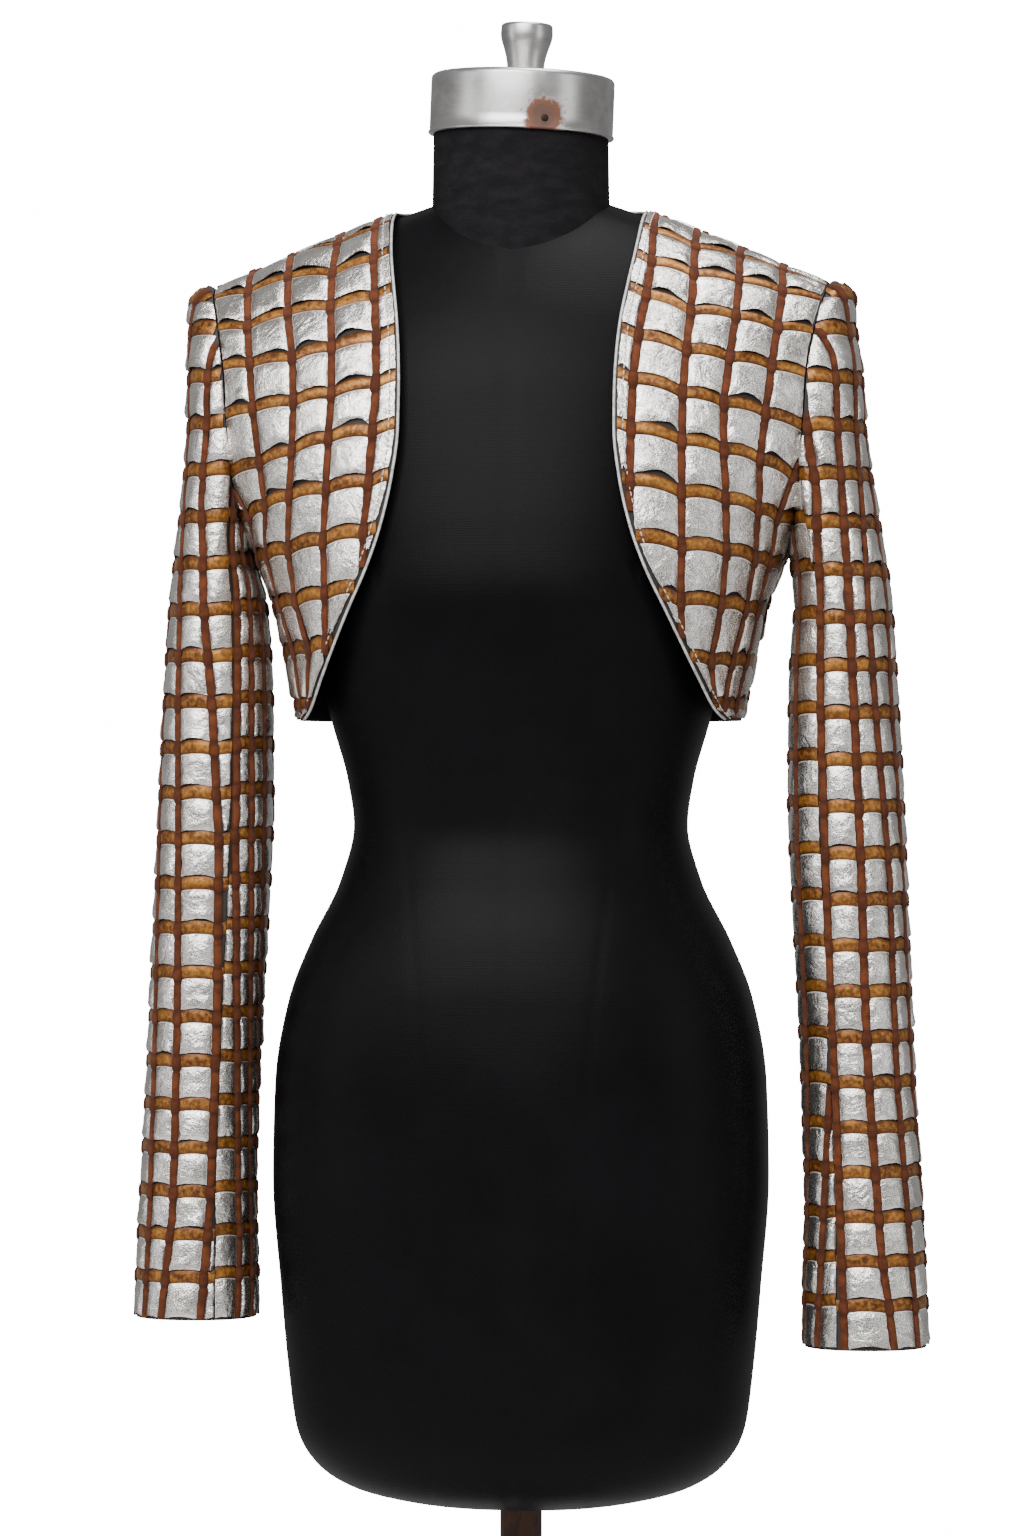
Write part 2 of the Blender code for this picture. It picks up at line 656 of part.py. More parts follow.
def rounded(radius, height, corner, steps=3):
    """Profile points of a quarter-round corner, from the top face to the side."""
    turns = [math.pi / 2 * n / steps for n in range(steps + 1)]
    return [(radius - corner + corner * math.sin(t), height - corner + corner * math.cos(t))
            for t in turns]


def form_torso():
    """Limbless torso: superellipse sections up to the shoulder ridge, with a seat for the neck."""
    segments = 32
    turn = np.linspace(0.0, 2 * math.pi, segments, endpoint=False)[None, :]
    level, slope, half, front, back = (FORM_ROWS[:, column][:, None] for column in range(5))
    power = 2 / BODY_POWER
    x = half * np.sign(np.sin(turn)) * np.abs(np.sin(turn)) ** power
    depth = np.where(np.cos(turn) > 0, front, back)
    y = -depth * np.sign(np.cos(turn)) * np.abs(np.cos(turn)) ** power
    points = np.stack((x, y + 0 * x, level - slope * row_drop(x)), axis=-1)
    first, ids = merged(points)
    faces = [tuple(f) for f in grid_faces(ids, closed=True)]
    faces.append(tuple(ids[0][::-1]))
    mesh = bpy.data.meshes.new("form_torso")
    mesh.from_pydata(points.reshape(-1, 3)[first].tolist(), [], faces)
    work = bmesh.new()
    work.from_mesh(mesh)
    bmesh.ops.recalc_face_normals(work, faces=work.faces)
    work.to_mesh(mesh)
    work.free()
    mesh.shade_smooth()
    torso = add_object("form_torso", mesh, "jersey")
    rise = 0.2
    spread = (NECK_RADIUS_TOP - NECK_RADIUS_FOOT) / (NECK_TOP - NECK_FOOT) * rise
    bpy.ops.mesh.primitive_cone_add(vertices=48, radius1=NECK_RADIUS_FOOT + TOUCH,
                                    radius2=NECK_RADIUS_FOOT + TOUCH + spread, depth=rise,
                                    location=(0, 0, NECK_FOOT + rise / 2))
    cutter = bpy.context.object
    cutter.name = "neck_seat_cutter"
    cutter.hide_render = True
    cutter.display_type = "WIRE"
    for collection in cutter.users_collection:
        collection.objects.unlink(cutter)
    bpy.data.collections["cutters"].objects.link(cutter)
    seat = torso.modifiers.new("neck_seat", "BOOLEAN")
    seat.operation = "DIFFERENCE"
    seat.solver = "EXACT"
    seat.object = cutter
    return torso


def form_neck():
    """Neck post of the form, a taper whose top is cut at the cap's tilt."""
    bpy.ops.mesh.primitive_cone_add(vertices=48, radius1=NECK_RADIUS_FOOT,
                                    radius2=NECK_RADIUS_TOP, depth=NECK_TOP - NECK_FOOT)
    neck = bpy.context.object
    neck.name = neck.data.name = "form_neck"
    lift = NECK_TOP - (NECK_TOP - NECK_FOOT) / 2
    lean = math.tan(math.radians(CAP_TILT))
    for vertex in neck.data.vertices:
        if vertex.co.z > 0:
            vertex.co.z -= vertex.co.x * lean
        else:
            vertex.co.z += TOUCH
        vertex.co.z += lift
    for collection in neck.users_collection:
        collection.objects.unlink(neck)
    bpy.data.collections["bolero_jacket_on_form"].objects.link(neck)
    neck.data.materials.append(material("neck"))
    neck.data.shade_smooth()
    neck.data.set_sharp_from_angle(angle=math.radians(40))
    return neck


def cap_and_knob():
    """Steel cap and turned knob on the neck, tipped together."""
    tilt = bpy.data.objects.new("cap_tilt", None)
    bpy.data.collections["bolero_jacket_on_form"].objects.link(tilt)
    tilt.location = (0, 0, NECK_TOP + TOUCH)
    tilt.rotation_euler = (0, math.radians(CAP_TILT), 0)
    cap = [(0.0, CAP_HEIGHT), *rounded(CAP_RADIUS, CAP_HEIGHT, 0.0035), (CAP_RADIUS, 0.0022),
           (CAP_RADIUS + 0.0008, 0.0014), (CAP_RADIUS + 0.0008, 0.0), (0.0, 0.0)]
    turned("neck_cap", cap, 40, "steel", (0, 0, 0), tilt)
    knob = [(0.0, 0.0335), *rounded(0.0165, 0.0335, 0.0022), (0.0168, 0.0265), (0.0160, 0.0225),
            (0.0125, 0.0110), (0.0118, 0.0050), (0.0118, 0.0), (0.0, 0.0)]
    turned("cap_knob", knob, 24, "steel", (0.0012, 0, CAP_HEIGHT + TOUCH), tilt)


def stand():
    """Pole under the form and the round weighted base that it stands in."""
    bottom = BASE_HEIGHT + TOUCH
    bpy.ops.mesh.primitive_cylinder_add(vertices=32, radius=POLE_RADIUS,
                                        depth=FORM_BOTTOM - TOUCH - bottom)
    pole = bpy.context.object
    pole.name = pole.data.name = "stand_pole"
    pole.location = (0, 0, (FORM_BOTTOM - TOUCH + bottom) / 2)
    for collection in pole.users_collection:
        collection.objects.unlink(pole)
    bpy.data.collections["bolero_jacket_on_form"].objects.link(pole)
    pole.data.materials.append(material("pole"))
    pole.data.shade_smooth()
    pole.data.set_sharp_from_angle(angle=math.radians(40))
    hub = 0.026
    base = [(0.0, BASE_HEIGHT), *rounded(hub, BASE_HEIGHT, 0.003), (hub, 0.0225), (0.034, 0.0185),
            (0.100, 0.0145), (BASE_RADIUS - 0.012, 0.0105), *rounded(BASE_RADIUS, 0.0090, 0.004),
            (BASE_RADIUS, 0.0), (0.0, 0.0)]
    turned("stand_base", base, 40, "base", (0, 0, 0))


def main():
    """Build the form on its stand, then the jacket on it."""
    for item in list(bpy.data.objects):
        bpy.data.objects.remove(item, do_unlink=True)
    for name in ("bolero_jacket_on_form", "cutters"):
        bpy.context.scene.collection.children.link(bpy.data.collections.new(name))
    stand()
    form_torso()
    form_neck()
    cap_and_knob()
    back_panel()
    back_lining()
    front_panel("front_left", 1)
    front_panel("front_right", -1)
    for name, side, first, pitch, cuff in SLEEVES:
        upper_sleeve("upper_sleeve_" + name, side, first, pitch, cuff)
        under_sleeve("under_sleeve_" + name, side, first, pitch, cuff)
    edge_piping()


main()
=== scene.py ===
"""Looks of a bolero jacket woven from silver leather, suede and satin, on a dress form.

Metres, +Z up. The jacket faces -Y and its wearer's left is +X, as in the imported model. The
cloth's surfaces are worked out from the same tables as the solids, and every cell, strip and
stitch is laid on those surfaces.
"""

import logging
import math
from dataclasses import dataclass, field
from enum import Enum
from typing import Sequence

import bpy
import numpy as np
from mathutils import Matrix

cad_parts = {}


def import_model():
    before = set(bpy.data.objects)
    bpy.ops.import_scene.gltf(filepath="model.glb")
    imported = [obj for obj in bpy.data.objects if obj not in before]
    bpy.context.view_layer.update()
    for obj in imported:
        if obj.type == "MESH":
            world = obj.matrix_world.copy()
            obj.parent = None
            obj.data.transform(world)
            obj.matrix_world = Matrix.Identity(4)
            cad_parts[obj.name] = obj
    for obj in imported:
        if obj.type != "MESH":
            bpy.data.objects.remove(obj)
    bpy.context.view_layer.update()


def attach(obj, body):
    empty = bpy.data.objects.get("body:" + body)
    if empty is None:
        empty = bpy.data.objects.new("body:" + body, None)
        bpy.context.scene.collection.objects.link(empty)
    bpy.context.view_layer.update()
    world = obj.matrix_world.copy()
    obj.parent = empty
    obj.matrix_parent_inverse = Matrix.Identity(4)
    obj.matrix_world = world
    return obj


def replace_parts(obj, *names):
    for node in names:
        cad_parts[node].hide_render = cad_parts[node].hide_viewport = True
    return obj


Array = np.ndarray
Colour = tuple[float, float, float]
Finish = bpy.types.Material
Piece = bpy.types.Object
Socket = bpy.types.NodeSocket

LOG = logging.getLogger("bolero")
ROOT = "root"

# Powers of the superellipses that the body's and the sleeves' sections follow.
BODY_POWER = 2.4
SLEEVE_POWER = 2.15
# A row's slope counts from LEVEL_X and is rounded over the middle within ROUND_X.
LEVEL_X = 0.081
ROUND_X = 0.050
ARMHOLE_TOP = 1.4004
ARMHOLE_BOTTOM = 1.236
ARMHOLE_HALF_DEPTH = 0.054
ARMHOLE_BLEND = 0.045
ARMHOLE_GAP = 0.0005
# The sleeve head's roping stands up this much over the shoulder.
ROPE_HEIGHT = 0.0022
# Turn from the sleeve's outermost line to the seams between its two pieces.
SLEEVE_SEAM = math.radians(114.0)
UNDER_SLEEVE_TOP = 1.312
ROW_TIGHTENING = 0.0025
NECK_HALF_WIDTH = 0.0813
NECK_BACK_DEPTH = 0.064
SEAM_HALF_GAP = 0.00015
WALL = 0.0016

# Row, level, slope and depth of the fronts and of the back.
FRONT_ROWS = np.array((
    (0.0, 1.4475, 0.442, 0.000), (1.0, 1.4398, 0.430, 0.025), (2.0, 1.4204, 0.390, 0.051),
    (3.0, 1.3940, 0.320, 0.0725), (4.0, 1.3653, 0.270, 0.089), (5.0, 1.3357, 0.240, 0.099),
    (6.0, 1.3039, 0.220, 0.106), (7.0, 1.2723, 0.200, 0.112), (8.0, 1.2367, 0.170, 0.117),
    (9.0, 1.2014, 0.130, 0.120), (10.0, 1.1656, 0.100, 0.118), (11.0, 1.1333, 0.050, 0.113),
    (11.4, 1.1220, 0.000, 0.111),
))
BACK_ROWS = np.array((
    (0.0, 1.4475, 0.442, 0.000), (1.0, 1.4460, 0.440, 0.026), (2.0, 1.4380, 0.420, 0.052),
    (3.0, 1.4190, 0.360, 0.071), (4.0, 1.3920, 0.300, 0.084), (5.0, 1.3620, 0.250, 0.093),
    (6.0, 1.3310, 0.210, 0.099), (7.0, 1.2990, 0.170, 0.103), (8.0, 1.2670, 0.140, 0.105),
    (9.0, 1.2350, 0.110, 0.105), (10.0, 1.2030, 0.080, 0.103), (11.0, 1.1710, 0.050, 0.101),
    (12.0, 1.1390, 0.020, 0.099), (12.5, 1.1220, 0.000, 0.098),
))
# Height and half-width at the side seam, and above the underarm at the armhole.
SIDE_LINE = np.array((
    (1.1220, 0.1410), (1.1420, 0.1450), (1.1740, 0.1520), (1.2000, 0.1580), (1.2230, 0.1675),
    (1.2360, 0.1720), (1.2600, 0.1780), (1.2830, 0.1805), (1.3182, 0.1830), (1.3400, 0.1845),
    (1.3680, 0.1890), (1.3950, 0.1955), (1.4004, 0.1965),
))
# Height of the cut-away front edge and its distance from the middle.
FRONT_EDGE = np.array((
    (1.1220, 0.1350), (1.1280, 0.1290), (1.1476, 0.1197), (1.1666, 0.1111), (1.1915, 0.0998),
    (1.2152, 0.0886), (1.2415, 0.0791), (1.2737, 0.0718), (1.3031, 0.0684), (1.3285, 0.0683),
    (1.3520, 0.0692), (1.3730, 0.0711), (1.3950, 0.0745), (1.4205, 0.0785), (1.4475, 0.0813),
))
# Height, outer line, middle, inner line, half-depth and forward hang of the sleeve tube.
SLEEVE_LINES = np.array((
    (0.7000, 0.2475, 0.2085, 0.1690, 0.0375, 0.012),
    (0.7510, 0.2455, 0.2075, 0.1690, 0.0380, 0.011),
    (0.8150, 0.2425, 0.2060, 0.1705, 0.0385, 0.010),
    (0.8790, 0.2390, 0.2035, 0.1690, 0.0395, 0.009),
    (0.9430, 0.2360, 0.2010, 0.1665, 0.0405, 0.008),
    (1.0070, 0.2335, 0.1980, 0.1630, 0.0420, 0.007),
    (1.0710, 0.2310, 0.1955, 0.1605, 0.0435, 0.006),
    (1.1350, 0.2275, 0.1935, 0.1610, 0.0455, 0.005),
    (1.1990, 0.2235, 0.1915, 0.1655, 0.0485, 0.003),
    (1.2380, 0.2190, 0.1895, 0.1745, 0.0510, 0.001),
    (1.2630, 0.2165, 0.1875, 0.1765, 0.0530, 0.000),
    (1.2890, 0.2140, 0.1855, 0.1785, 0.0538, 0.000),
    (1.3182, 0.2125, 0.1830, 0.1760, 0.0540, 0.000),
    (1.3900, 0.2122, 0.1940, 0.1900, 0.0240, 0.000),
    (1.3960, 0.2100, 0.1957, 0.1950, 0.0180, 0.000),
    (1.4004, 0.2040, 0.1965, 0.1960, 0.0010, 0.000),
))
# Height and how far the wearer's left sleeve swings out more than the right one.
LEFT_SWING = np.array((
    (0.7000, 0.0125), (1.1990, 0.0115), (1.2380, 0.0100), (1.2890, 0.0070), (1.3400, 0.0045),
    (1.3800, 0.0000), (1.4004, 0.0000),
))
# Level, slope, half-width, front depth and back depth of the dress form.
FORM_ROWS = np.array((
    (0.6200, 0.000, 0.034, 0.026, 0.026), (0.6232, 0.000, 0.063, 0.050, 0.050),
    (0.6330, 0.000, 0.106, 0.078, 0.080), (0.6488, 0.000, 0.131, 0.092, 0.094),
    (0.6700, 0.000, 0.143, 0.100, 0.103), (0.7128, 0.000, 0.149, 0.105, 0.110),
    (0.7640, 0.000, 0.1536, 0.109, 0.115), (0.8300, 0.000, 0.1585, 0.112, 0.119),
    (0.8920, 0.000, 0.1570, 0.113, 0.119), (0.9432, 0.000, 0.1485, 0.110, 0.112),
    (0.9816, 0.000, 0.1340, 0.103, 0.099), (1.0200, 0.000, 0.1152, 0.092, 0.083),
    (1.0550, 0.000, 0.1066, 0.086, 0.076), (1.0840, 0.000, 0.1104, 0.087, 0.077),
    (1.1224, 0.000, 0.1210, 0.096, 0.083), (1.1650, 0.040, 0.1310, 0.109, 0.090),
    (1.2014, 0.110, 0.1380, 0.1155, 0.095), (1.2350, 0.160, 0.1440, 0.1125, 0.098),
    (1.2700, 0.190, 0.1500, 0.1070, 0.0975), (1.3020, 0.210, 0.1540, 0.1010, 0.0960),
    (1.3330, 0.230, 0.1580, 0.0945, 0.0910), (1.3620, 0.270, 0.1620, 0.0840, 0.0835),
    (1.3900, 0.320, 0.1660, 0.0675, 0.0730), (1.4165, 0.390, 0.1700, 0.0460, 0.0540),
    (1.4363, 0.430, 0.1725, 0.0215, 0.0240), (1.4434, 0.442, 0.1740, 0.0000, 0.0000),
))
# Where the fronts' suede strips cross the rows: row, each strip's place along the row, and how
# far down the crossing lies, in rows.
FRONT_STRIPS = {
    -1: np.array(((0, 0.0944, 0.1198, 0.1560, 0.1835, 0.2155, 0.00, 0.00, -1.00, -1.20, -1.40),
                  (1, 0.0944, 0.1198, 0.1555, 0.1830, 0.2150, 0.03, 0.07, -0.85, -1.05, -1.27),
                  (2, 0.0910, 0.1191, 0.1519, 0.1804, 0.2110, 0.17, 0.17, -0.34, -0.40, -0.85),
                  (3, 0.0874, 0.1170, 0.1475, 0.1759, 0.2060, 0.16, 0.09, -0.16, -0.14, -0.52),
                  (4, 0.0841, 0.1141, 0.1414, 0.1727, 0.2020, 0.12, 0.08, 0.06, -0.11, -0.29),
                  (5, 0.0831, 0.1130, 0.1397, 0.1707, 0.2040, 0.11, 0.11, 0.07, -0.04, -0.04),
                  (6, 0.0847, 0.1146, 0.1409, 0.1674, 0.2060, 0.06, -0.01, 0.06, 0.14, 0.21),
                  (7, 0.0866, 0.1164, 0.1447, 0.1668, 0.1886, 0.05, 0.02, -0.02, 0.05, 0.17),
                  (8, 0.0901, 0.1194, 0.1500, 0.1780, 0.2000, -0.07, -0.07, -0.03, -0.03, 0.00),
                  (9, 0.0910, 0.1203, 0.1500, 0.1770, 0.2020, -0.08, -0.08, -0.04, -0.04, 0.00),
                  (10, 0.0910, 0.1216, 0.1384, 0.1600, 0.1860, -0.20, -0.20, -0.13, -0.16, -0.10),
                  (11, 0.0900, 0.1220, 0.1465, 0.1590, 0.1770, 0.0, 0.0, 0.0, 0.0, 0.0))),
    1: np.array(((0, 0.0900, 0.1183, 0.1485, 0.1775, 0.2150, 0.00, 0.00, -0.10, -0.30, -0.60),
                 (1, 0.0900, 0.1183, 0.1485, 0.1775, 0.2150, 0.37, 0.41, -0.01, -0.24, -0.58),
                 (2, 0.0904, 0.1179, 0.1485, 0.1776, 0.2110, 0.33, 0.29, -0.02, -0.21, -0.50),
                 (3, 0.0874, 0.1162, 0.1458, 0.1734, 0.2060, 0.16, 0.28, 0.05, 0.01, -0.26),
                 (4, 0.0829, 0.1138, 0.1420, 0.1701, 0.2020, 0.12, 0.19, 0.12, 0.04, 0.04),
                 (5, 0.0799, 0.1117, 0.1384, 0.1671, 0.2040, 0.07, 0.15, 0.15, 0.15, 0.31),
                 (6, 0.0789, 0.1116, 0.1391, 0.1648, 0.1937, 0.06, 0.10, 0.10, 0.14, 0.33),
                 (7, 0.0785, 0.1120, 0.1419, 0.1678, 0.1873, 0.08, 0.13, 0.09, 0.17, 0.24),
                 (8, 0.0790, 0.1130, 0.1453, 0.1719, 0.1914, 0.08, 0.08, 0.04, 0.08, 0.12),
                 (9, 0.0800, 0.1133, 0.1455, 0.1723, 0.1923, 0.07, 0.07, 0.04, 0.07, 0.07),
                 (10, 0.0800, 0.1150, 0.1385, 0.1604, 0.1830, 0.10, 0.10, 0.10, 0.10, 0.05),
                 (11, 0.0800, 0.1180, 0.1435, 0.1540, 0.1720, 0.0, 0.0, 0.0, 0.0, 0.0)))}
# Where the suede strips of the upper sleeves run: row, then each strip's place along the row.
SLEEVE_STRIPS = {
    -1: np.array(((0.3, 0.0000, 0.0240, 0.0595), (1.5, 0.0020, 0.0260, 0.0545),
                  (3.0, 0.0060, 0.0300, 0.0556), (4.5, 0.0100, 0.0340, 0.0552),
                  (7.2, 0.0150, 0.0400, 0.0600), (9.0, 0.0180, 0.0408, 0.0654),
                  (12.0, 0.0220, 0.0446, 0.0714), (17.0, 0.0270, 0.0472, 0.0724),
                  (20.5, 0.0300, 0.0486, 0.0722), (23.0, 0.0285, 0.0428, 0.0688))),
    1: np.array(((0.4, 0.0000, 0.0230, 0.0570, 0.0790), (1.5, 0.0030, 0.0256, 0.0482, 0.0725),
                 (4.3, 0.0146, 0.0345, 0.0519, 0.0690),
                 (6.5, 0.0210, 0.0431, 0.0567, 0.0748), (9.0, 0.0215, 0.0392, 0.0545, 0.0758),
                 (12.5, 0.0152, 0.0320, 0.0527, 0.0750), (17.0, 0.0125, 0.0312, 0.0514, 0.0728),
                 (20.8, -0.002, 0.0258, 0.0478, 0.0728), (23.0, -0.005, 0.0220, 0.0412, 0.0728)))}
# The same for the under sleeves, from their front seam.
UNDER_STRIPS = {
    -1: np.array(((6.0, 0.0045, 0.0170, 0.0330), (9.0, 0.0032, 0.0150, 0.0300),
                  (12.0, 0.0036, 0.0160, 0.0290), (17.0, 0.0125, 0.0250, 0.0380),
                  (21.0, 0.0185, 0.0320, 0.0470), (23.0, 0.0160, 0.0300, 0.0460))),
    1: np.array(((6.0, -0.010, 0.0205, 0.0420), (12.0, -0.008, 0.0210, 0.0430),
                 (17.0, 0.0010, 0.0225, 0.0440), (19.5, 0.0085, 0.0280, 0.0480),
                 (23.0, 0.0155, 0.0350, 0.0530)))}


def read(table: Array, column: int, at: Array | float) -> Array:
    """Read a column between a table's rows along a monotone cubic, which adds no waves.

    Args:
        table: Rows of numbers whose first column rises.
        column: The column to read.
        at: Where to read, in the first column's terms.

    Returns:
        The column's values there.
    """
    keys, values = table[:, 0], table[:, column]
    steps = np.diff(keys)
    rises = np.diff(values) / steps
    same = rises[1:] * rises[:-1] > 0
    safe = np.where(same, rises[1:] + rises[:-1], 1.0)
    inner = np.where(same, 2 * rises[1:] * rises[:-1] / safe, 0.0)
    slopes = np.concatenate((rises[:1], inner, rises[-1:]))
    at = np.clip(np.asarray(at, float), keys[0], keys[-1])
    low = np.clip(np.searchsorted(keys, at, side="right") - 1, 0, len(steps) - 1)
    part = (at - keys[low]) / steps[low]
    start, end = values[low], values[low + 1]
    lead, trail = slopes[low] * steps[low], slopes[low + 1] * steps[low]
    curve = 2 * part ** 3 - 3 * part ** 2
    return (start * (curve + 1) - end * curve
            + lead * (part ** 3 - 2 * part ** 2 + part) + trail * (part ** 3 - part ** 2))


def ease(part: Array | float) -> Array:
    """Rise smoothly from 0 to 1 as part does: 3 p^2 - 2 p^3."""
    part = np.clip(part, 0.0, 1.0)
    return part * part * (3 - 2 * part)


def unit(vectors: Array) -> Array:
    """Vectors of length 1 along the given ones."""
    return vectors / np.maximum(np.linalg.norm(vectors, axis=-1, keepdims=True), 1e-12)


def row_drop(x: Array) -> Array:
    """Distance from the middle that a row's slope acts on, rounded over the middle."""
    return np.hypot(x, ROUND_X) - math.hypot(LEVEL_X, ROUND_X)


def armhole_depth(height: Array) -> Array:
    """Half-depth of the armhole's oval at a height, and 0 below the underarm."""
    middle = (ARMHOLE_TOP + ARMHOLE_BOTTOM) / 2
    away = (height - middle) / (ARMHOLE_TOP - middle)
    return ARMHOLE_HALF_DEPTH * np.sqrt(np.clip(1 - away ** 2, 0.0, 1.0))


def armhole_floor(depth: Array) -> Array:
    """Height of the armhole oval's lower edge at a distance from its middle."""
    middle = (ARMHOLE_TOP + ARMHOLE_BOTTOM) / 2
    part = np.clip(np.abs(depth) / ARMHOLE_HALF_DEPTH, 0.0, 1.0)
    return middle - (ARMHOLE_TOP - middle) * np.sqrt(1 - part ** 2)


def body_point(rows: Array, facing: int, turn: Array, row: Array) -> Array:
    """Skin of the jacket's body: each row is a quarter of a superellipse that falls sideways.

    Args:
        rows: FRONT_ROWS or BACK_ROWS.
        facing: -1 for a front and 1 for the back.
        turn: 0 in the middle, growing to the side.
        row: Row of the weave, down the body.

    Returns:
        Points of the wearer's left half.
    """
    level, slope, depth = (read(rows, column, row) for column in (1, 2, 3))
    wide = side_reach(level, slope, depth)[0]
    x = wide * np.sin(turn) ** (2 / BODY_POWER)
    y = depth * np.clip(np.cos(turn), 0.0, 1.0) ** (2 / BODY_POWER)
    z = level - slope * row_drop(x)
    return np.stack((x, facing * np.maximum(y, SEAM_HALF_GAP), z), axis=-1)


def side_reach(level: Array, slope: Array,
               depth: Array) -> tuple[Array, Array]:
    """Widest half-width of a row's superellipse, and the turn at which the panel ends."""
    end = level - slope * 0.1
    for _ in range(12):
        end = level - slope * row_drop(read(SIDE_LINE, 1, end))
    part = np.clip(armhole_depth(end) / np.maximum(depth, 1e-6), 0.0, 0.97)
    share = (1 - np.where(depth < 1e-5, 0.0, part) ** BODY_POWER) ** (1 / BODY_POWER)
    turn = np.arcsin(np.clip(share ** (BODY_POWER / 2), 0.0, 1.0))
    return read(SIDE_LINE, 1, end) / share, turn


def sleeve_widths(side: int, height: Array) -> tuple[Array, ...]:
    """Outer line, middle, inner line, half-depth and forward hang of a sleeve at a height."""
    outer, middle, inner, depth, forward = (read(SLEEVE_LINES, column, height)
                                            for column in (1, 2, 3, 4, 5))
    high = height > (ARMHOLE_TOP + ARMHOLE_BOTTOM) / 2
    middle = np.where(high, read(SIDE_LINE, 1, height), middle)
    depth = np.where(high, armhole_depth(height), depth)
    swing = read(LEFT_SWING, 1, height) * (side > 0)
    low = ease((1.27 - height) / 0.08)
    return outer + swing, middle + swing * low, inner + swing * low, depth, forward


def sleeve_point(side: int, turn: Array, height: Array) -> Array:
    """Skin of a sleeve: a superellipse whose inner half starts at the armhole's lower edge.

    Args:
        side: 1 for the wearer's left sleeve and -1 for the right one.
        turn: 0 at the outermost line and a quarter turn at the front.
        height: Height of the slice.

    Returns:
        Points of the sleeve.
    """
    outer, middle, inner, depth, forward = sleeve_widths(side, height)
    power = 2 / SLEEVE_POWER
    across = np.sign(np.cos(turn)) * np.abs(np.cos(turn)) ** power
    through = np.sign(np.sin(turn)) * np.abs(np.sin(turn)) ** power
    floor = armhole_floor(depth * through)
    tube = middle - (middle - inner) * np.abs(across)
    started = ease((floor - height) / ARMHOLE_BLEND)
    under = read(SIDE_LINE, 1, floor) * (1 - started) + tube * started
    over = middle + (outer - middle) * across
    x = np.where(across >= 0, over, under)
    rope = np.sin(math.pi * np.clip(across, 0, 1)) * ease((height - 1.365) / 0.035)
    y = -depth * through - forward
    return np.stack((side * (x + ARMHOLE_GAP), y, height + ROPE_HEIGHT * rope), axis=-1)


class Chart:
    """A piece of cloth as a surface: u metres along its rows, and v rows down it.

    A fine net of its points at even steps of u and v is filled row by row from the lengths
    along each row, and read between its knots.

    Attributes:
        side: 1 or -1, the side of the body that it is on.
        pitch: Mean distance between two rows, in metres.
        first, last: Rows at the cloth's top and bottom.
    """

    def __init__(self, side: int, pitch: float, first: float, last: float, turned: int) -> None:
        """Measure the rows from first to last; turned is -1 where u x v points inwards."""
        self.side, self.pitch, self.first, self.last = side, pitch, first, last
        self.turned = turned
        self._v = np.linspace(first, last, int((last - first) / 0.05) + 1)
        lines = [self._line(v) for v in self._v]
        self._low = np.array([line[2] for line in lines])
        self._high = np.array([line[3] for line in lines])
        self._u = np.linspace(self._low.min(), self._high.max(), 500)
        self._net = np.array([self._skin(np.interp(self._u, line[0], line[1]),
                                         np.full(self._u.size, v))
                              for line, v in zip(lines, self._v)])

    def _line(self, v: float) -> tuple[Array, Array, float, float]:
        """Lengths and turns along a row, and the lengths at which the cloth starts and ends."""
        raise NotImplementedError

    def _skin(self, turn: Array, v: Array) -> Array:
        """Points of the skin from turns and rows."""
        raise NotImplementedError

    def start(self, v: Array | float) -> Array:
        """Length along a row at which the cloth starts."""
        return np.interp(v, self._v, self._low)

    def end(self, v: Array | float) -> Array:
        """Length along a row at which the cloth ends."""
        return np.interp(v, self._v, self._high)

    def spans(self, v: float) -> list[tuple[float, float]]:
        """Stretches of a row that the cloth covers."""
        return [(float(self.start(v)), float(self.end(v)))]

    def top(self, u: Array) -> Array:
        """Row at which the cloth starts at each length."""
        return np.full(np.shape(u), self.first)

    def within(self, low: Array, high: Array, v: Array,
               margin: float) -> tuple[Array, Array]:
        """The part of low to high that lies on the cloth at each row, clear of its edges."""
        return (np.maximum(low, self.start(v) + margin), np.minimum(high, self.end(v) - margin))

    def held(self, u: Array, v: Array) -> Array:
        """Lengths held between the cloth's edges."""
        return np.clip(u, self.start(v), self.end(v))

    def place(self, u: Array, v: Array) -> Array:
        """Points of the skin at u and v, held inside the cloth."""
        v = np.clip(v, self.first, self.last)
        u = self.held(u, v)
        across = (u - self._u[0]) / (self._u[1] - self._u[0])
        down = (v - self._v[0]) / (self._v[1] - self._v[0])
        i = np.clip(down.astype(int), 0, len(self._v) - 2)
        j = np.clip(across.astype(int), 0, len(self._u) - 2)
        p, q = (down - i)[..., None], (across - j)[..., None]
        net = self._net
        return ((1 - p) * ((1 - q) * net[i, j] + q * net[i, j + 1])
                + p * ((1 - q) * net[i + 1, j] + q * net[i + 1, j + 1]))

    def normal(self, u: Array, v: Array) -> Array:
        """Outward unit normals, from the skin's slopes each way."""
        v = np.clip(v, self.first, self.last)
        u = self.held(u, v)
        along = self.place(u + 0.0015, v) - self.place(u - 0.0015, v)
        down = self.place(u, v + 0.06) - self.place(u, v - 0.06)
        normal = np.cross(along, down) * self.turned
        normal[..., 2] += 1e-9
        return unit(normal)

    def lift(self, u: Array, v: Array, height: Array | float) -> Array:
        """Points that stand the given height above the skin."""
        return self.place(u, v) + self.normal(u, v) * np.asarray(height)[..., None]


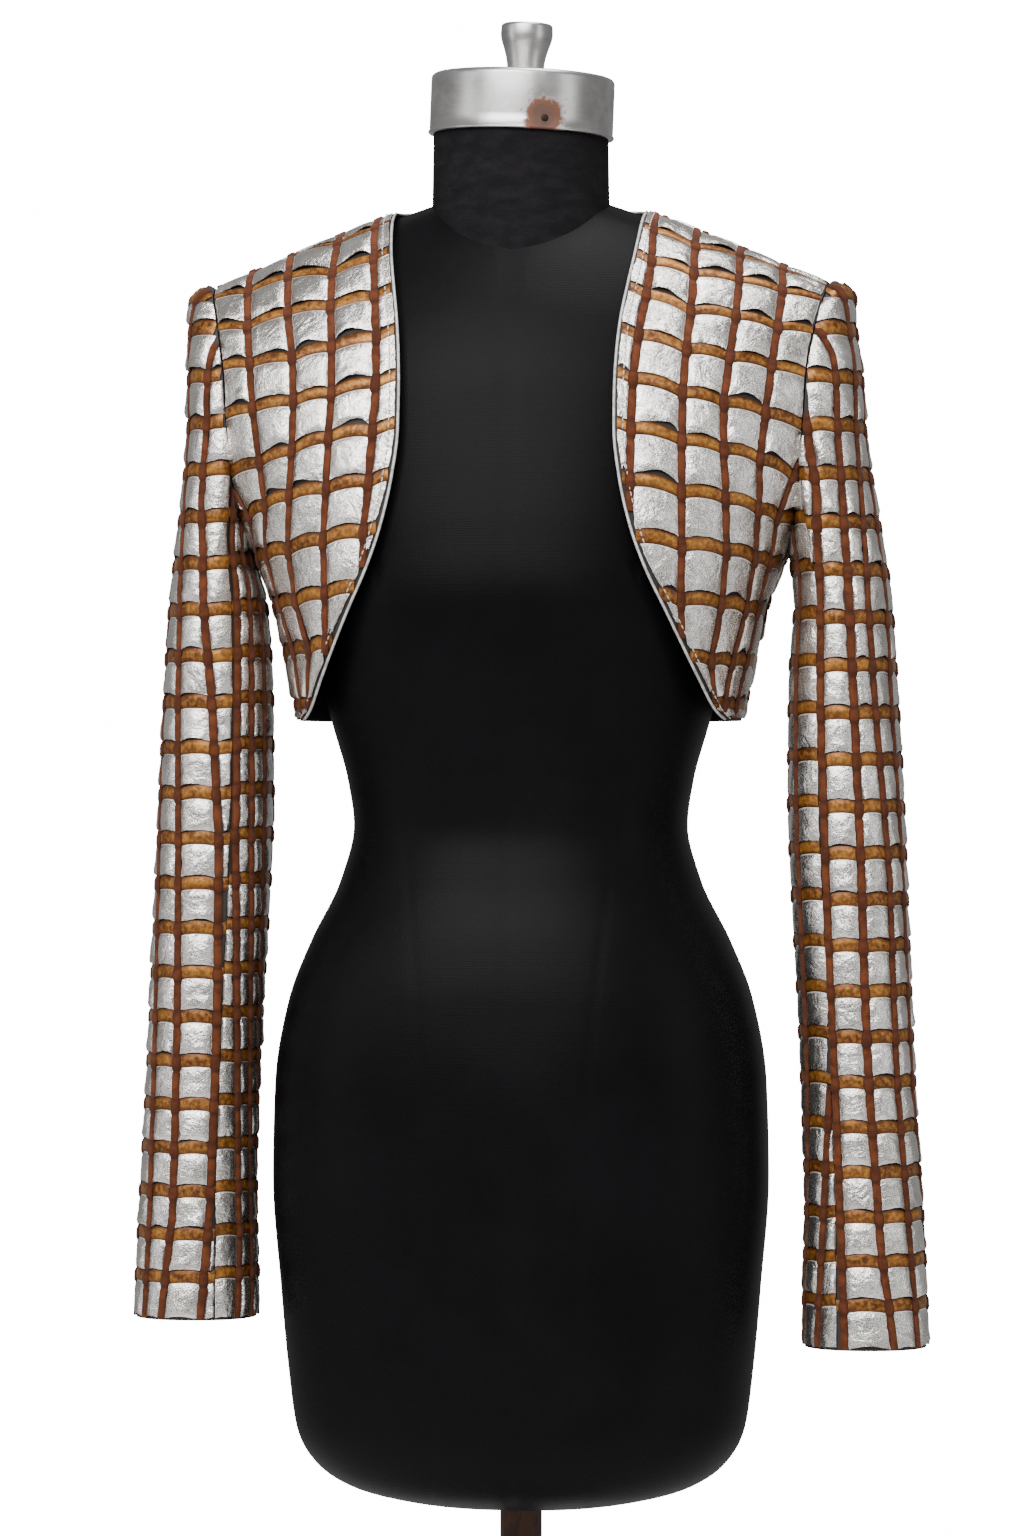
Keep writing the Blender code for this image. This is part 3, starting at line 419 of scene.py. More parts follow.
class BodyChart(Chart):
    """A front or half of the back, with u from the middle of the body."""

    ROW_PITCH = 0.0318

    def __init__(self, rows: Array, facing: int, side: int) -> None:
        """Take FRONT_ROWS with facing -1 or BACK_ROWS with facing 1, for one side."""
        self.rows, self.facing = rows, facing
        super().__init__(side, self.ROW_PITCH, 0.0, float(rows[-1, 0]), side * facing)

    def _line(self, v: float) -> tuple[Array, Array, float, float]:
        """Lengths and turns along a row, cut by the front edge or the back neck's ellipse."""
        level, slope, depth = (read(self.rows, column, v) for column in (1, 2, 3))
        turns = float(side_reach(level, slope, depth)[1]) * np.linspace(0.0, 1.0, 241) ** 1.2
        points = body_point(self.rows, self.facing, turns, np.full(241, v))
        steps = np.linalg.norm(np.diff(points, axis=0), axis=1)
        length = np.concatenate(([0.0], np.cumsum(steps)))
        if self.facing < 0:
            beyond = points[:, 0] - read(FRONT_EDGE, 1, points[:, 2])
        else:
            beyond = ((points[:, 0] / NECK_HALF_WIDTH) ** 2
                      + (points[:, 1] / NECK_BACK_DEPTH) ** 2 - 1)
        start = 0.0 if beyond[0] > 0 else float(np.interp(0.0, beyond, length))
        return length, turns, start, float(length[-1])

    def _skin(self, turn: Array, v: Array) -> Array:
        """Points of the skin on this chart's side."""
        return body_point(self.rows, self.facing, turn, v) * np.array((self.side, 1, 1))


class BackChart(BodyChart):
    """The whole back, with u from the centre back, negative on the wearer's right."""

    def __init__(self) -> None:
        """Measure the wearer's left half, which the other half mirrors."""
        super().__init__(BACK_ROWS, 1, 1)

    def spans(self, v: float) -> list[tuple[float, float]]:
        """One stretch below the back neck, and one on each side of it above."""
        start, end = float(self.start(v)), float(self.end(v))
        return [(-end, end)] if start < 1e-6 else [(-end, -start), (start, end)]

    def within(self, low: Array, high: Array, v: Array,
               margin: float) -> tuple[Array, Array]:
        """As on a front, and a stretch over the centre back starts below the neck."""
        start, end = self.start(v), self.end(v) - margin
        over, right = (low < 0) & (high > 0), low < 0
        return (np.where(over, low, np.where(right, np.maximum(low, -end),
                                             np.maximum(low, start + margin))),
                np.where(over, np.where(start < 1e-6, high, low),
                         np.where(right, np.minimum(high, -start - margin),
                                  np.minimum(high, end))))

    def held(self, u: Array, v: Array) -> Array:
        """Lengths held between the neck and the side on either half."""
        return np.where(u < 0, -1.0, 1.0) * np.clip(np.abs(u), self.start(v), self.end(v))

    def place(self, u: Array, v: Array) -> Array:
        """Points of the left half, mirrored where u is negative."""
        points = super().place(np.abs(u), v)
        points[..., 0] *= np.where(np.asarray(u) < 0, -1.0, 1.0)
        return points


class SleevePart(Enum):
    """The two pieces that a sleeve is cut in."""

    UPPER = "upper"
    UNDER = "under"


class SleeveChart(Chart):
    """A sleeve piece, with u from its outermost line, or from its front seam if it is the under."""

    def __init__(self, side: int, part: SleevePart, first_row: float, pitch: float,
                 cuff: float) -> None:
        """Take the side, the piece, the first row's height, the rows' pitch and the cuff."""
        self.part, self.first_row, self.row_pitch = part, first_row, pitch
        rows = np.linspace(-1.0, 25.0, 5201)
        heights = self.height(rows)
        top = ARMHOLE_TOP - 0.0004 if part is SleevePart.UPPER else UNDER_SLEEVE_TOP
        first = float(np.interp(-top, -heights, rows))
        last = float(np.interp(-cuff, -heights, rows))
        super().__init__(side, pitch, first, last, side)
        below = np.abs(self._net[..., 2] - self.height(self._v)[:, None]) < 0.0004
        self._top = self._v[np.argmax(below, axis=0)]

    def top(self, u: Array) -> Array:
        """The under piece starts at the armhole's lower edge."""
        if self.part is SleevePart.UPPER:
            return super().top(u)
        return np.interp(u, self._u, self._top) + 0.05

    def height(self, v: Array | float) -> Array:
        """Height of a row; the rows draw a little closer towards the cuff."""
        steps = np.asarray(v, float) - 1
        return self.first_row - self.row_pitch * steps * (1 - ROW_TIGHTENING * steps)

    def _line(self, v: float) -> tuple[Array, Array, float, float]:
        """Lengths and turns round the piece at a row."""
        height = float(self.height(v))
        if self.part is SleevePart.UPPER:
            end = min(SLEEVE_SEAM, self._reach(height))
            turns = np.linspace(-end, end, 361)
        else:
            turns = np.linspace(SLEEVE_SEAM, 2 * math.pi - SLEEVE_SEAM, 361)
        points = self._skin(turns, np.full(361, v))
        steps = np.linalg.norm(np.diff(points, axis=0), axis=1)
        length = np.concatenate(([0.0], np.cumsum(steps)))
        if self.part is SleevePart.UPPER:
            length -= float(np.interp(0.0, turns, length))
        return length, turns, float(length[0]) + SEAM_HALF_GAP, float(length[-1]) - SEAM_HALF_GAP

    def _reach(self, height: float) -> float:
        """Turn at which a slice of the sleeve meets the armhole, or half a turn below it."""
        if height > (ARMHOLE_TOP + ARMHOLE_BOTTOM) / 2:
            return math.pi / 2
        if height <= ARMHOLE_BOTTOM:
            return math.pi
        depth = float(sleeve_widths(self.side, np.array(height))[3])
        part = min(float(armhole_depth(np.array(height))) / depth, 1.0)
        return math.pi - math.asin(part ** (SLEEVE_POWER / 2))

    def _skin(self, turn: Array, v: Array) -> Array:
        """Points of the skin; the under piece stops at the armhole's lower edge."""
        height = self.height(v)
        if self.part is SleevePart.UNDER:
            level = height
            for _ in range(8):
                depth = sleeve_widths(self.side, height)[3]
                through = np.abs(np.sin(turn)) ** (2 / SLEEVE_POWER)
                height = np.minimum(level, armhole_floor(depth * through))
        return sleeve_point(self.side, turn, height)


class Value:
    """A number that changes over a surface. Python's operators on it add the Math nodes."""

    def __init__(self, paint: "Paint", socket: Socket) -> None:
        """Wrap an output socket of a paint's node tree."""
        self.paint, self.socket = paint, socket

    def maths(self, operation: str, *others: "Value | float", first: bool = True) -> "Value":
        """Join this value and others in one Math node.

        Args:
            operation: The Math node's operation.
            others: The other operands.
            first: False puts this value after the first of the others.

        Returns:
            The node's result.
        """
        values = [self, *others] if first else [others[0], self, *others[1:]]
        node = self.paint.node("ShaderNodeMath", {"operation": operation}, dict(enumerate(values)))
        return Value(self.paint, node.outputs[0])

    def __add__(self, other: "Value | float") -> "Value":
        """Sum."""
        return self.maths("ADD", other)

    __radd__ = __add__

    def __sub__(self, other: "Value | float") -> "Value":
        """Difference."""
        return self.maths("SUBTRACT", other)

    def __rsub__(self, other: float) -> "Value":
        """Difference with a plain number in front."""
        return self.maths("SUBTRACT", other, first=False)

    def __mul__(self, other: "Value | float") -> "Value":
        """Product."""
        return self.maths("MULTIPLY", other)

    __rmul__ = __mul__

    def __pow__(self, power: float) -> "Value":
        """Power."""
        return self.maths("POWER", power)

    def __abs__(self) -> "Value":
        """Distance from 0."""
        return self.maths("ABSOLUTE")

    def smaller(self, other: "Value | float") -> "Value":
        """The smaller of two values."""
        return self.maths("MINIMUM", other)

    def larger(self, other: "Value | float") -> "Value":
        """The larger of two values."""
        return self.maths("MAXIMUM", other)

    def wave(self) -> "Value":
        """Sine of this value."""
        return self.maths("SINE")

    def step(self, low: float, high: float) -> "Value":
        """Smooth step: 0 below low and 1 above high, or the other way round if low is larger."""
        turned = low > high
        node = self.paint.node("ShaderNodeMapRange", {"interpolation_type": "SMOOTHSTEP"},
                               {"Value": self, "From Min": min(low, high),
                                "From Max": max(low, high)})
        result = Value(self.paint, node.outputs[0])
        return 1 - result if turned else result


class Paint:
    """A Principled material whose nodes are made by one method."""

    def __init__(self, name: str) -> None:
        """Start an empty material with this name."""
        self.material = bpy.data.materials.new(name)
        self.material.use_nodes = True
        self.tree = self.material.node_tree
        self.shader = self.tree.nodes["Principled BSDF"]

    def node(self, kind: str, settings: dict, sockets: dict) -> bpy.types.Node:
        """Add a node.

        Args:
            kind: The node's type.
            settings: Properties, set before the sockets.
            sockets: Numbers, colours, Values or output sockets by input name or index.

        Returns:
            The node.
        """
        node = self.tree.nodes.new(kind)
        for key, value in settings.items():
            setattr(node, key, value)
        for key, value in sockets.items():
            self.feed(node.inputs[key], value)
        return node

    def feed(self, socket: Socket, value: object) -> None:
        """Set an input to a number or colour, or link a Value or an output to it."""
        if isinstance(value, Value):
            value = value.socket
        if isinstance(value, Socket):
            self.tree.links.new(value, socket)
        elif isinstance(value, tuple) and len(value) == 3 and len(socket.default_value) == 4:
            socket.default_value = (*value, 1.0)
        else:
            socket.default_value = value

    def place(self) -> Socket:
        """Object coordinates, which are metres in the row frame."""
        return self.node("ShaderNodeTexCoord", {}, {}).outputs["Object"]

    def stretched(self, along: Sequence[float], turned: float = 0.0) -> Socket:
        """Object coordinates scaled along each axis and turned about the upright one."""
        return self.node("ShaderNodeMapping", {}, {
            "Vector": self.place(), "Scale": tuple(along),
            "Rotation": (0.0, 0.0, turned)}).outputs[0]

    def map(self, name: str) -> Socket:
        """A UV map's coordinates."""
        return self.node("ShaderNodeUVMap", {"uv_map": name}, {}).outputs[0]

    def parts(self, vector: Socket) -> tuple[Value, Value, Value]:
        """The three parts of a vector."""
        node = self.node("ShaderNodeSeparateXYZ", {}, {0: vector})
        return tuple(Value(self, output) for output in node.outputs)

    def shade(self, name: str) -> Value:
        """A number that the mesh holds at each point."""
        node = self.node("ShaderNodeAttribute", {"attribute_name": name}, {})
        return Value(self, node.outputs["Fac"])

    def noise(self, vector: Socket, scale: float, detail: float = 3.0,
              roughness: float = 0.5, distortion: float = 0.0) -> Value:
        """Cloudy noise from 0 to 1."""
        node = self.node("ShaderNodeTexNoise", {}, {
            "Vector": vector, "Scale": scale, "Detail": detail, "Roughness": roughness,
            "Distortion": distortion})
        return Value(self, node.outputs["Fac"])

    def cracks(self, vector: Socket, scale: float) -> Value:
        """Distance to the nearest edge between random cells."""
        node = self.node("ShaderNodeTexVoronoi", {"feature": "DISTANCE_TO_EDGE"},
                         {"Vector": vector, "Scale": scale})
        return Value(self, node.outputs["Distance"])

    def mix(self, share: Value, low: object, high: object) -> Socket:
        """Colour that goes from low to high as share goes from 0 to 1."""
        node = self.node("ShaderNodeMix", {"data_type": "RGBA"}, {0: share, 6: low, 7: high})
        return node.outputs[2]

    def bump(self, height: Value, distance: float, strength: float = 1.0,
             below: Socket | None = None) -> Socket:
        """Normal bent by a height, on top of another bump where one is given."""
        sockets = {"Height": height, "Distance": distance, "Strength": strength}
        if below is not None:
            sockets["Normal"] = below
        return self.node("ShaderNodeBump", {}, sockets).outputs[0]

    def finish(self, **values: object) -> Finish:
        """Set the Principled shader's sockets, named with _ for a space, and give the material."""
        for key, value in values.items():
            self.feed(self.shader.inputs[key.replace("_", " ")], value)
        colour = values.get("Base_Color")
        if isinstance(colour, tuple):
            self.material.diffuse_color = (*colour, 1.0)
        return self.material


@dataclass(frozen=True)
class SilverLeather:
    """Foiled silver leather: creased and finely crazed, pale at the cells' upper edges and sides:
    partly the cut edge, partly a painted highlight where the edges catch the light.
    """

    bright: Colour = (0.905, 0.868, 0.825)
    grey: Colour = (0.60, 0.567, 0.53)
    # edge: pale rim colour, partly the cut leather edge and partly a painted highlight where the
    # cells' edges catch the light.
    edge: Colour = (0.93, 0.92, 0.90)

    def make(self) -> Finish:
        """Colour from noise and each cell's tone, with a painted highlight along the upper edge and
        sides; bumps from creases and crazing.
        """
        paint = Paint("silver_leather")
        place = paint.place()
        across, down, _ = paint.parts(paint.map("cell"))
        tone = paint.shade("tone")
        cloud = paint.noise(place, 38.0, 4.0, 0.55, 0.4)
        crease = paint.noise(place, 210.0, 5.0, 0.62, 1.6)
        crazing = paint.cracks(place, 620.0).step(0.0, 0.09)
        share = (cloud.step(0.36, 0.62) * 0.75 + tone * 0.45 - 0.12) * (0.82 + crazing * 0.18)
        body = paint.mix(share.smaller(1.0).larger(0.0), self.grey, self.bright)
        # Rim along the cell's upper edge and sides: partly the pale cut edge, partly a painted
        # highlight where that edge catches the light. It also lowers metallic and raises roughness.
        rim = down.step(0.06, 0.0).larger(abs(across - 0.5).step(0.46, 0.5) * 0.7)
        colour = paint.mix(rim * 0.75, body, self.edge)
        fold = paint.noise(place, 62.0, 3.0, 0.5, 2.2)
        soft = paint.bump(fold, 0.0042, 0.30)
        height = crease.step(0.25, 0.75) + crazing * 0.22
        normal = paint.bump(height, 0.0008, 0.30, soft)
        rough = 0.17 + crease * 0.14 + (1 - crazing) * 0.10 + rim * 0.2
        return paint.finish(Base_Color=colour, Metallic=0.97 - rim * 0.35, Roughness=rough,
                            Normal=normal)


@dataclass(frozen=True)
class Satin:
    """Gold-brown satin of the row strips, mottled, with painted shade at its edges where the cells'
    edges overhang it.
    """

    gold: Colour = (0.46, 0.195, 0.032)
    brown: Colour = (0.090, 0.026, 0.006)

    def make(self) -> Finish:
        """Mottling from stretched noise, with painted shade towards the strip's edges."""
        paint = Paint("gold_satin")
        place = paint.place()
        _, down, _ = paint.parts(paint.map("cell"))
        mottle = paint.noise(place, 340.0, 4.0, 0.6, 0.3)
        cloud = paint.noise(place, 46.0, 2.0)
        # middle: painted shade, darkening the colour towards the strip's edges under the cells'
        # edges.
        middle = abs(down - 0.5).step(0.52, 0.18)
        share = (mottle.step(0.38, 0.66) * 0.62 + cloud.step(0.35, 0.7) * 0.38) * middle
        fine = paint.noise(place, 900.0, 2.0)
        normal = paint.bump(mottle + fine * 0.25, 0.0006, 0.5)
        return paint.finish(Base_Color=paint.mix(share, self.brown, self.gold), Metallic=0.55,
                            Roughness=0.30 + mottle * 0.18, Normal=normal)


@dataclass(frozen=True)
class Suede:
    """Matte red-brown suede of the upright strips."""

    light: Colour = (0.148, 0.040, 0.0130)
    dark: Colour = (0.044, 0.0115, 0.0045)

    def make(self) -> Finish:
        """Nap from fine noise, with painted shade at the strip's edges and, through the tone
        attribute, at its crossings and creases.
        """
        paint = Paint("suede")
        place = paint.place()
        across, _, _ = paint.parts(paint.map("cell"))
        nap = paint.noise(place, 1500.0, 3.0, 0.6)
        cloud = paint.noise(place, 120.0, 3.0, 0.5, 0.5)
        # side: painted shade towards the strip's edges, where it meets the cells.
        side = abs(across - 0.5).step(0.5, 0.28)
        # tone: painted shade from the mesh, darker at the crossings and in the creases beside them.
        tone = paint.shade("tone").larger(0.0)
        share = nap * 0.35 + cloud.step(0.3, 0.7) * 0.65
        share = share * (0.35 + side * 0.65) * (0.15 + tone * 1.5)
        return paint.finish(Base_Color=paint.mix(share, self.dark, self.light), Roughness=0.92,
                            Specular_IOR_Level=0.2, Sheen_Weight=0.04, Sheen_Roughness=0.5,
                            Normal=paint.bump(nap + cloud, 0.0004, 0.7))


@dataclass(frozen=True)
class Backing:
    """Near-black cloth under the weave, whose darkness in the gaps between the pieces is painted
    shade, and the lining inside it.
    """

    name: str = "backing"
    # Near-black by default, so that the backing seen in the gaps under lifted cells stands in for
    # their shadow: painted shade.
    light: Colour = (0.030, 0.020, 0.016)
    dark: Colour = (0.008, 0.006, 0.006)
    roughness: float = 0.6

    def make(self) -> Finish:
        """Fine twill lines and soft cloudiness."""
        paint = Paint(self.name)
        place = paint.place()
        cloud = paint.noise(place, 30.0, 3.0)
        x, y, z = paint.parts(place)
        twill = ((x + y + z) * 5200.0).wave() * 0.5 + 0.5
        share = cloud * 0.6 + twill * 0.4
        return paint.finish(Base_Color=paint.mix(share, self.dark, self.light),
                            Roughness=self.roughness + cloud * 0.15,
                            Normal=paint.bump(twill, 0.00012, 0.5))


@dataclass(frozen=True)
class Piping:
    """Silver-white covered cord, with the twist of its cover."""

    light: Colour = (0.74, 0.73, 0.71)
    dark: Colour = (0.33, 0.32, 0.31)

    def make(self) -> Finish:
        """Slanted ridges round the cord from its own map, and grime from noise."""
        paint = Paint("silver_piping")
        along, around, _ = paint.parts(paint.map("cell"))
        ridge = ((along * 5200.0) + around * 6.2832).wave() * 0.5 + 0.5
        grime = paint.noise(paint.place(), 240.0, 3.0)
        share = ridge * 0.35 + grime.step(0.3, 0.6) * 0.65
        return paint.finish(Base_Color=paint.mix(share, self.dark, self.light), Metallic=0.35,
                            Roughness=0.45, Normal=paint.bump(ridge, 0.0003, 0.6))


@dataclass(frozen=True)
class Thread:
    """Off-white sewing thread."""

    light: Colour = (0.80, 0.79, 0.76)
    dark: Colour = (0.45, 0.44, 0.42)

    def make(self) -> Finish:
        """Twist lines across each stitch."""
        paint = Paint("thread")
        along, around, _ = paint.parts(paint.map("cell"))
        twist = (along * 26.0 + around * 6.2832).wave() * 0.5 + 0.5
        return paint.finish(Base_Color=paint.mix(twist, self.dark, self.light), Roughness=0.7,
                            Normal=paint.bump(twist, 0.0001, 0.6))


@dataclass(frozen=True)
class Jersey:
    """Black jersey of the form: a soft sheen, fine courses and a little dust."""

    light: Colour = (0.0034, 0.0034, 0.0041)
    dark: Colour = (0.0010, 0.0010, 0.0013)

    def make(self) -> Finish:
        """Fine level courses and a light cloudiness."""
        paint = Paint("jersey")
        place = paint.place()
        x, y, z = paint.parts(place)
        course = (z * 5600.0).wave() * 0.5 + 0.5
        wale = ((x + y * 0.6) * 4300.0).wave() * 0.5 + 0.5
        cloud = paint.noise(place, 14.0, 4.0, 0.6)
        dust = paint.noise(place, 420.0, 3.0, 0.7)
        share = cloud.step(0.3, 0.75) * 0.5 + course * 0.2 + dust * 0.3
        return paint.finish(Base_Color=paint.mix(share, self.dark, self.light),
                            Roughness=0.38 + cloud * 0.14 + course * 0.05,
                            Specular_IOR_Level=0.08,
                            Normal=paint.bump(course * 0.6 + wale * 0.4 + dust, 0.00014, 0.45))


@dataclass(frozen=True)
class NeckCloth:
    """Matte brown-black cloth of the neck, rubbed along its seam."""

    light: Colour = (0.0150, 0.0135, 0.0150)
    dark: Colour = (0.0062, 0.0056, 0.0064)

    def make(self) -> Finish:
        """Plain weave with rubbed, dusty patches."""
        paint = Paint("neck_cloth")
        place = paint.place()
        x, y, z = paint.parts(place)
        weave = (z * 4200.0).wave() * ((x + y * 0.5) * 4200.0).wave()
        rubbed = paint.noise(paint.stretched((1.0, 1.0, 2.2)), 60.0, 5.0, 0.65)
        share = rubbed.step(0.35, 0.8) * 0.8 + weave * 0.1 + 0.1
        return paint.finish(Base_Color=paint.mix(share, self.dark, self.light), Roughness=0.93,
                            Specular_IOR_Level=0.1,
                            Normal=paint.bump(weave * 0.5 + rubbed, 0.0003, 0.6))


@dataclass(frozen=True)
class Steel:
    """Brushed steel of the cap and knob, with a rust stain on the cap's front."""

    name: str
    stained: bool
    bright: Colour = (0.62, 0.61, 0.60)
    grey: Colour = (0.36, 0.35, 0.345)
    rust: Colour = (0.14, 0.038, 0.009)
    dark_rust: Colour = (0.075, 0.030, 0.016)
    stain_at: tuple[float, float] = (0.0190, 1.5025)

    def make(self) -> Finish:
        """Fine turned lines, smudges, and a rust stain round the screw hole."""
        paint = Paint(self.name)
        place = paint.place()
        x, y, z = paint.parts(place)
        lines = paint.noise(paint.stretched((0.6, 0.6, 30.0)), 90.0, 4.0, 0.7)
        smudge = paint.noise(place, 34.0, 4.0, 0.6, 0.8)
        share = lines.step(0.2, 0.8) * 0.4 + smudge.step(0.3, 0.7) * 0.6
        colour = paint.mix(share, self.grey, self.bright)
        rough = 0.24 + smudge * 0.16 + lines * 0.06
        metal: Value | float = 1.0
        if self.stained:
            ragged = paint.noise(place, 130.0, 5.0, 0.7, 1.2)
            drawn = paint.noise(paint.stretched((1.0, 1.0, 0.25)), 160.0, 3.0)
            across, above = x - self.stain_at[0], z - self.stain_at[1]
            aside = (across ** 2 + above ** 2) ** 0.5 + ragged * 0.016
            spots = paint.noise(place, 420.0, 2.0).step(0.62, 0.70) * aside.step(0.034, 0.020)
            aside = aside + drawn * 0.006
            stain = aside.step(0.0255, 0.0205).larger(spots * 0.6) * y.step(0.0, -0.03)
            tint = paint.mix(aside.step(0.015, 0.021), self.dark_rust, self.rust)
            colour = paint.mix(stain * 0.95, colour, tint)
            rough = rough + stain * 0.50
            metal = 1 - stain * 0.9
        return paint.finish(Base_Color=colour, Metallic=metal, Roughness=rough,
                            Normal=paint.bump(lines, 0.00008, 0.35))


@dataclass(frozen=True)
class DarkMetal:
    """Dark painted or browned metal of the pole and base, worn at its edges."""

    name: str
    dark: Colour
    worn: Colour
    roughness: float
    metallic: float

    def make(self) -> Finish:
        """Blotches of wear with fine pitting."""
        paint = Paint(self.name)
        place = paint.place()
        blotch = paint.noise(paint.stretched((1.0, 1.0, 0.35)), 70.0, 5.0, 0.65, 0.6)
        pit = paint.noise(place, 900.0, 2.0)
        share = blotch.step(0.42, 0.74)
        return paint.finish(Base_Color=paint.mix(share, self.dark, self.worn),
                            Metallic=self.metallic, Roughness=self.roughness + blotch * 0.15,
                            Normal=paint.bump(pit, 0.0002, 0.4))


def floor_finish() -> Finish:
    """Pale matte floor with hardly visible unevenness."""
    paint = Paint("pale_floor")
    cloud = paint.noise(paint.place(), 1.2, 3.0)
    return paint.finish(Base_Color=paint.mix(cloud, (0.88, 0.88, 0.88), (0.92, 0.92, 0.92)),
                        Roughness=0.9)


@dataclass
class Mesh:
    """Points and faces gathered for one piece, with its map, its tones and its finishes.

    Attributes:
        points: Blocks of points.
        faces: Blocks of faces as rows of point numbers, 4 wide.
        maps: Blocks of one map coordinate for each point.
        tones: Blocks of one tone for each point.
        marks: Blocks of one material number for each face.
    """

    points: list[Array] = field(default_factory=list)
    faces: list[Array] = field(default_factory=list)
    maps: list[Array] = field(default_factory=list)
    tones: list[Array] = field(default_factory=list)
    marks: list[Array] = field(default_factory=list)
    count: int = 0

    def add(self, points: Array, faces: Array, coordinates: Array,
            tone: Array | float = 0.5, mark: Array | int = 0) -> None:
        """Add a block: points (n, 3), faces (m, 4), map (n, 2), tones (n) and marks (m)."""
        self.points.append(points.reshape(-1, 3))
        self.faces.append(faces.reshape(-1, 4) + self.count)
        self.maps.append(coordinates.reshape(-1, 2))
        self.tones.append(np.broadcast_to(tone, len(self.points[-1])).astype(float))
        self.marks.append(np.broadcast_to(mark, len(self.faces[-1])).astype(int))
        self.count += len(self.points[-1])

    def wall(self, chart: Chart, where: tuple[Array, Array], heights: Sequence,
             coordinates: Array, tone: float = 0.5, mark: Array | int = 0) -> None:
        """Add a closed wall over a chart's skin.

        Args:
            chart: The cloth's surface.
            where: Grids of u and v.
            heights: Heights of the wall's outer and inner side over the skin.
            coordinates: Map coordinates for each point of the grid.
            tone: The wall's tone.
            mark: Its material number, or one for each face.
        """
        both = np.concatenate([chart.lift(*where, height).reshape(-1, 3) for height in heights])
        normals = np.tile(chart.normal(*where).reshape(-1, 3), (2, 1))
        self.add(both, outwards(both, walled(*where[0].shape), normals),
                 np.tile(coordinates.reshape(-1, 2), (2, 1)), tone, mark)

    def build(self, name: str, *finishes: Finish, slot: str = "") -> Piece:
        """Make the piece, link it and let it ride on the root.

        Args:
            name: The piece's name.
            finishes: Its materials, in the order of the marks.
            slot: A material slot's name; not used.

        Returns:
            The object.
        """
        points, faces = np.concatenate(self.points), np.concatenate(self.faces)
        mesh = bpy.data.meshes.new(name)
        mesh.from_pydata(points.tolist(), [], faces.tolist())
        corners = faces.ravel()
        layer = mesh.uv_layers.new(name="cell")
        layer.data.foreach_set("uv", np.concatenate(self.maps)[corners].ravel())
        tone = mesh.attributes.new("tone", "FLOAT", "POINT")
        tone.data.foreach_set("value", np.concatenate(self.tones))
        for finish in finishes:
            mesh.materials.append(finish)
        mesh.polygons.foreach_set("material_index", np.concatenate(self.marks))
        mesh.shade_smooth()
        mesh.set_sharp_from_angle(angle=math.radians(50))
        piece = bpy.data.objects.new(name, mesh)
        bpy.context.scene.collection.objects.link(piece)
        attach(piece, ROOT)
        LOG.info("%s: %d faces", name, len(faces))
        return piece


def quads(rows: int, columns: int, round_it: bool = False) -> Array:
    """Faces of a grid of points; with round_it its last column joins its first."""
    i, j = np.meshgrid(np.arange(rows - 1), np.arange(columns if round_it else columns - 1),
                       indexing="ij")
    k = (j + 1) % columns
    return np.stack((i * columns + j, i * columns + k, (i + 1) * columns + k,
                     (i + 1) * columns + j), axis=-1).reshape(-1, 4)


def fan(segments: int) -> Array:
    """Quads that close a ring of an even number of points, folded across it."""
    half = segments // 2
    i = np.arange(half - 1)
    return np.stack((i, i + 1, segments - 2 - i, segments - 1 - i), axis=-1)


def ringed(rings: int, around: int) -> Array:
    """Faces that join rings of points in order and close the first and the last ring."""
    return np.concatenate((quads(rings, around, round_it=True), fan(around)[:, ::-1],
                           fan(around) + (rings - 1) * around))


def rim_of(rows: int, columns: int) -> Array:
    """Point numbers round the edge of a grid, once round."""
    grid = np.arange(rows * columns).reshape(rows, columns)
    return np.concatenate((grid[0, :-1], grid[:-1, -1], grid[-1, :0:-1], grid[:0:-1, 0]))


def walled(rows: int, columns: int) -> Array:
    """Faces of a closed wall: an outer grid, an inner grid of as many points, and a rim."""
    count, rim = rows * columns, rim_of(rows, columns)
    after = np.roll(rim, -1)
    outer = quads(rows, columns)
    inner = outer[:, ::-1] + count
    edge = np.stack((after, rim, rim + count, after + count), axis=-1)
    return np.concatenate((outer, inner, edge))


def outwards(points: Array, faces: Array, normals: Array) -> Array:
    """Turn all faces round if the first half of them looks against the given normals."""
    lead = faces[:max(1, len(faces) // 2)]
    a, b, c = (points[lead[:, n]] for n in (0, 1, 2))
    looks = np.sum(np.cross(b - a, c - a) * normals[lead[:, 0]])
    return faces if looks >= 0 else faces[:, ::-1]


def lattice_noise(u: Array, v: Array, seed: float) -> Array:
    """Smooth unevenness between -1 and 1: sines of u and v that don't repeat together."""
    return (np.sin(u * 91.7 + v * 1.31 + seed * 7.13) + np.sin(u * 53.1 - v * 2.17 + seed * 3.71)
            + np.sin(v * 3.77 + seed * 5.19 + u * 17.3)) / 3


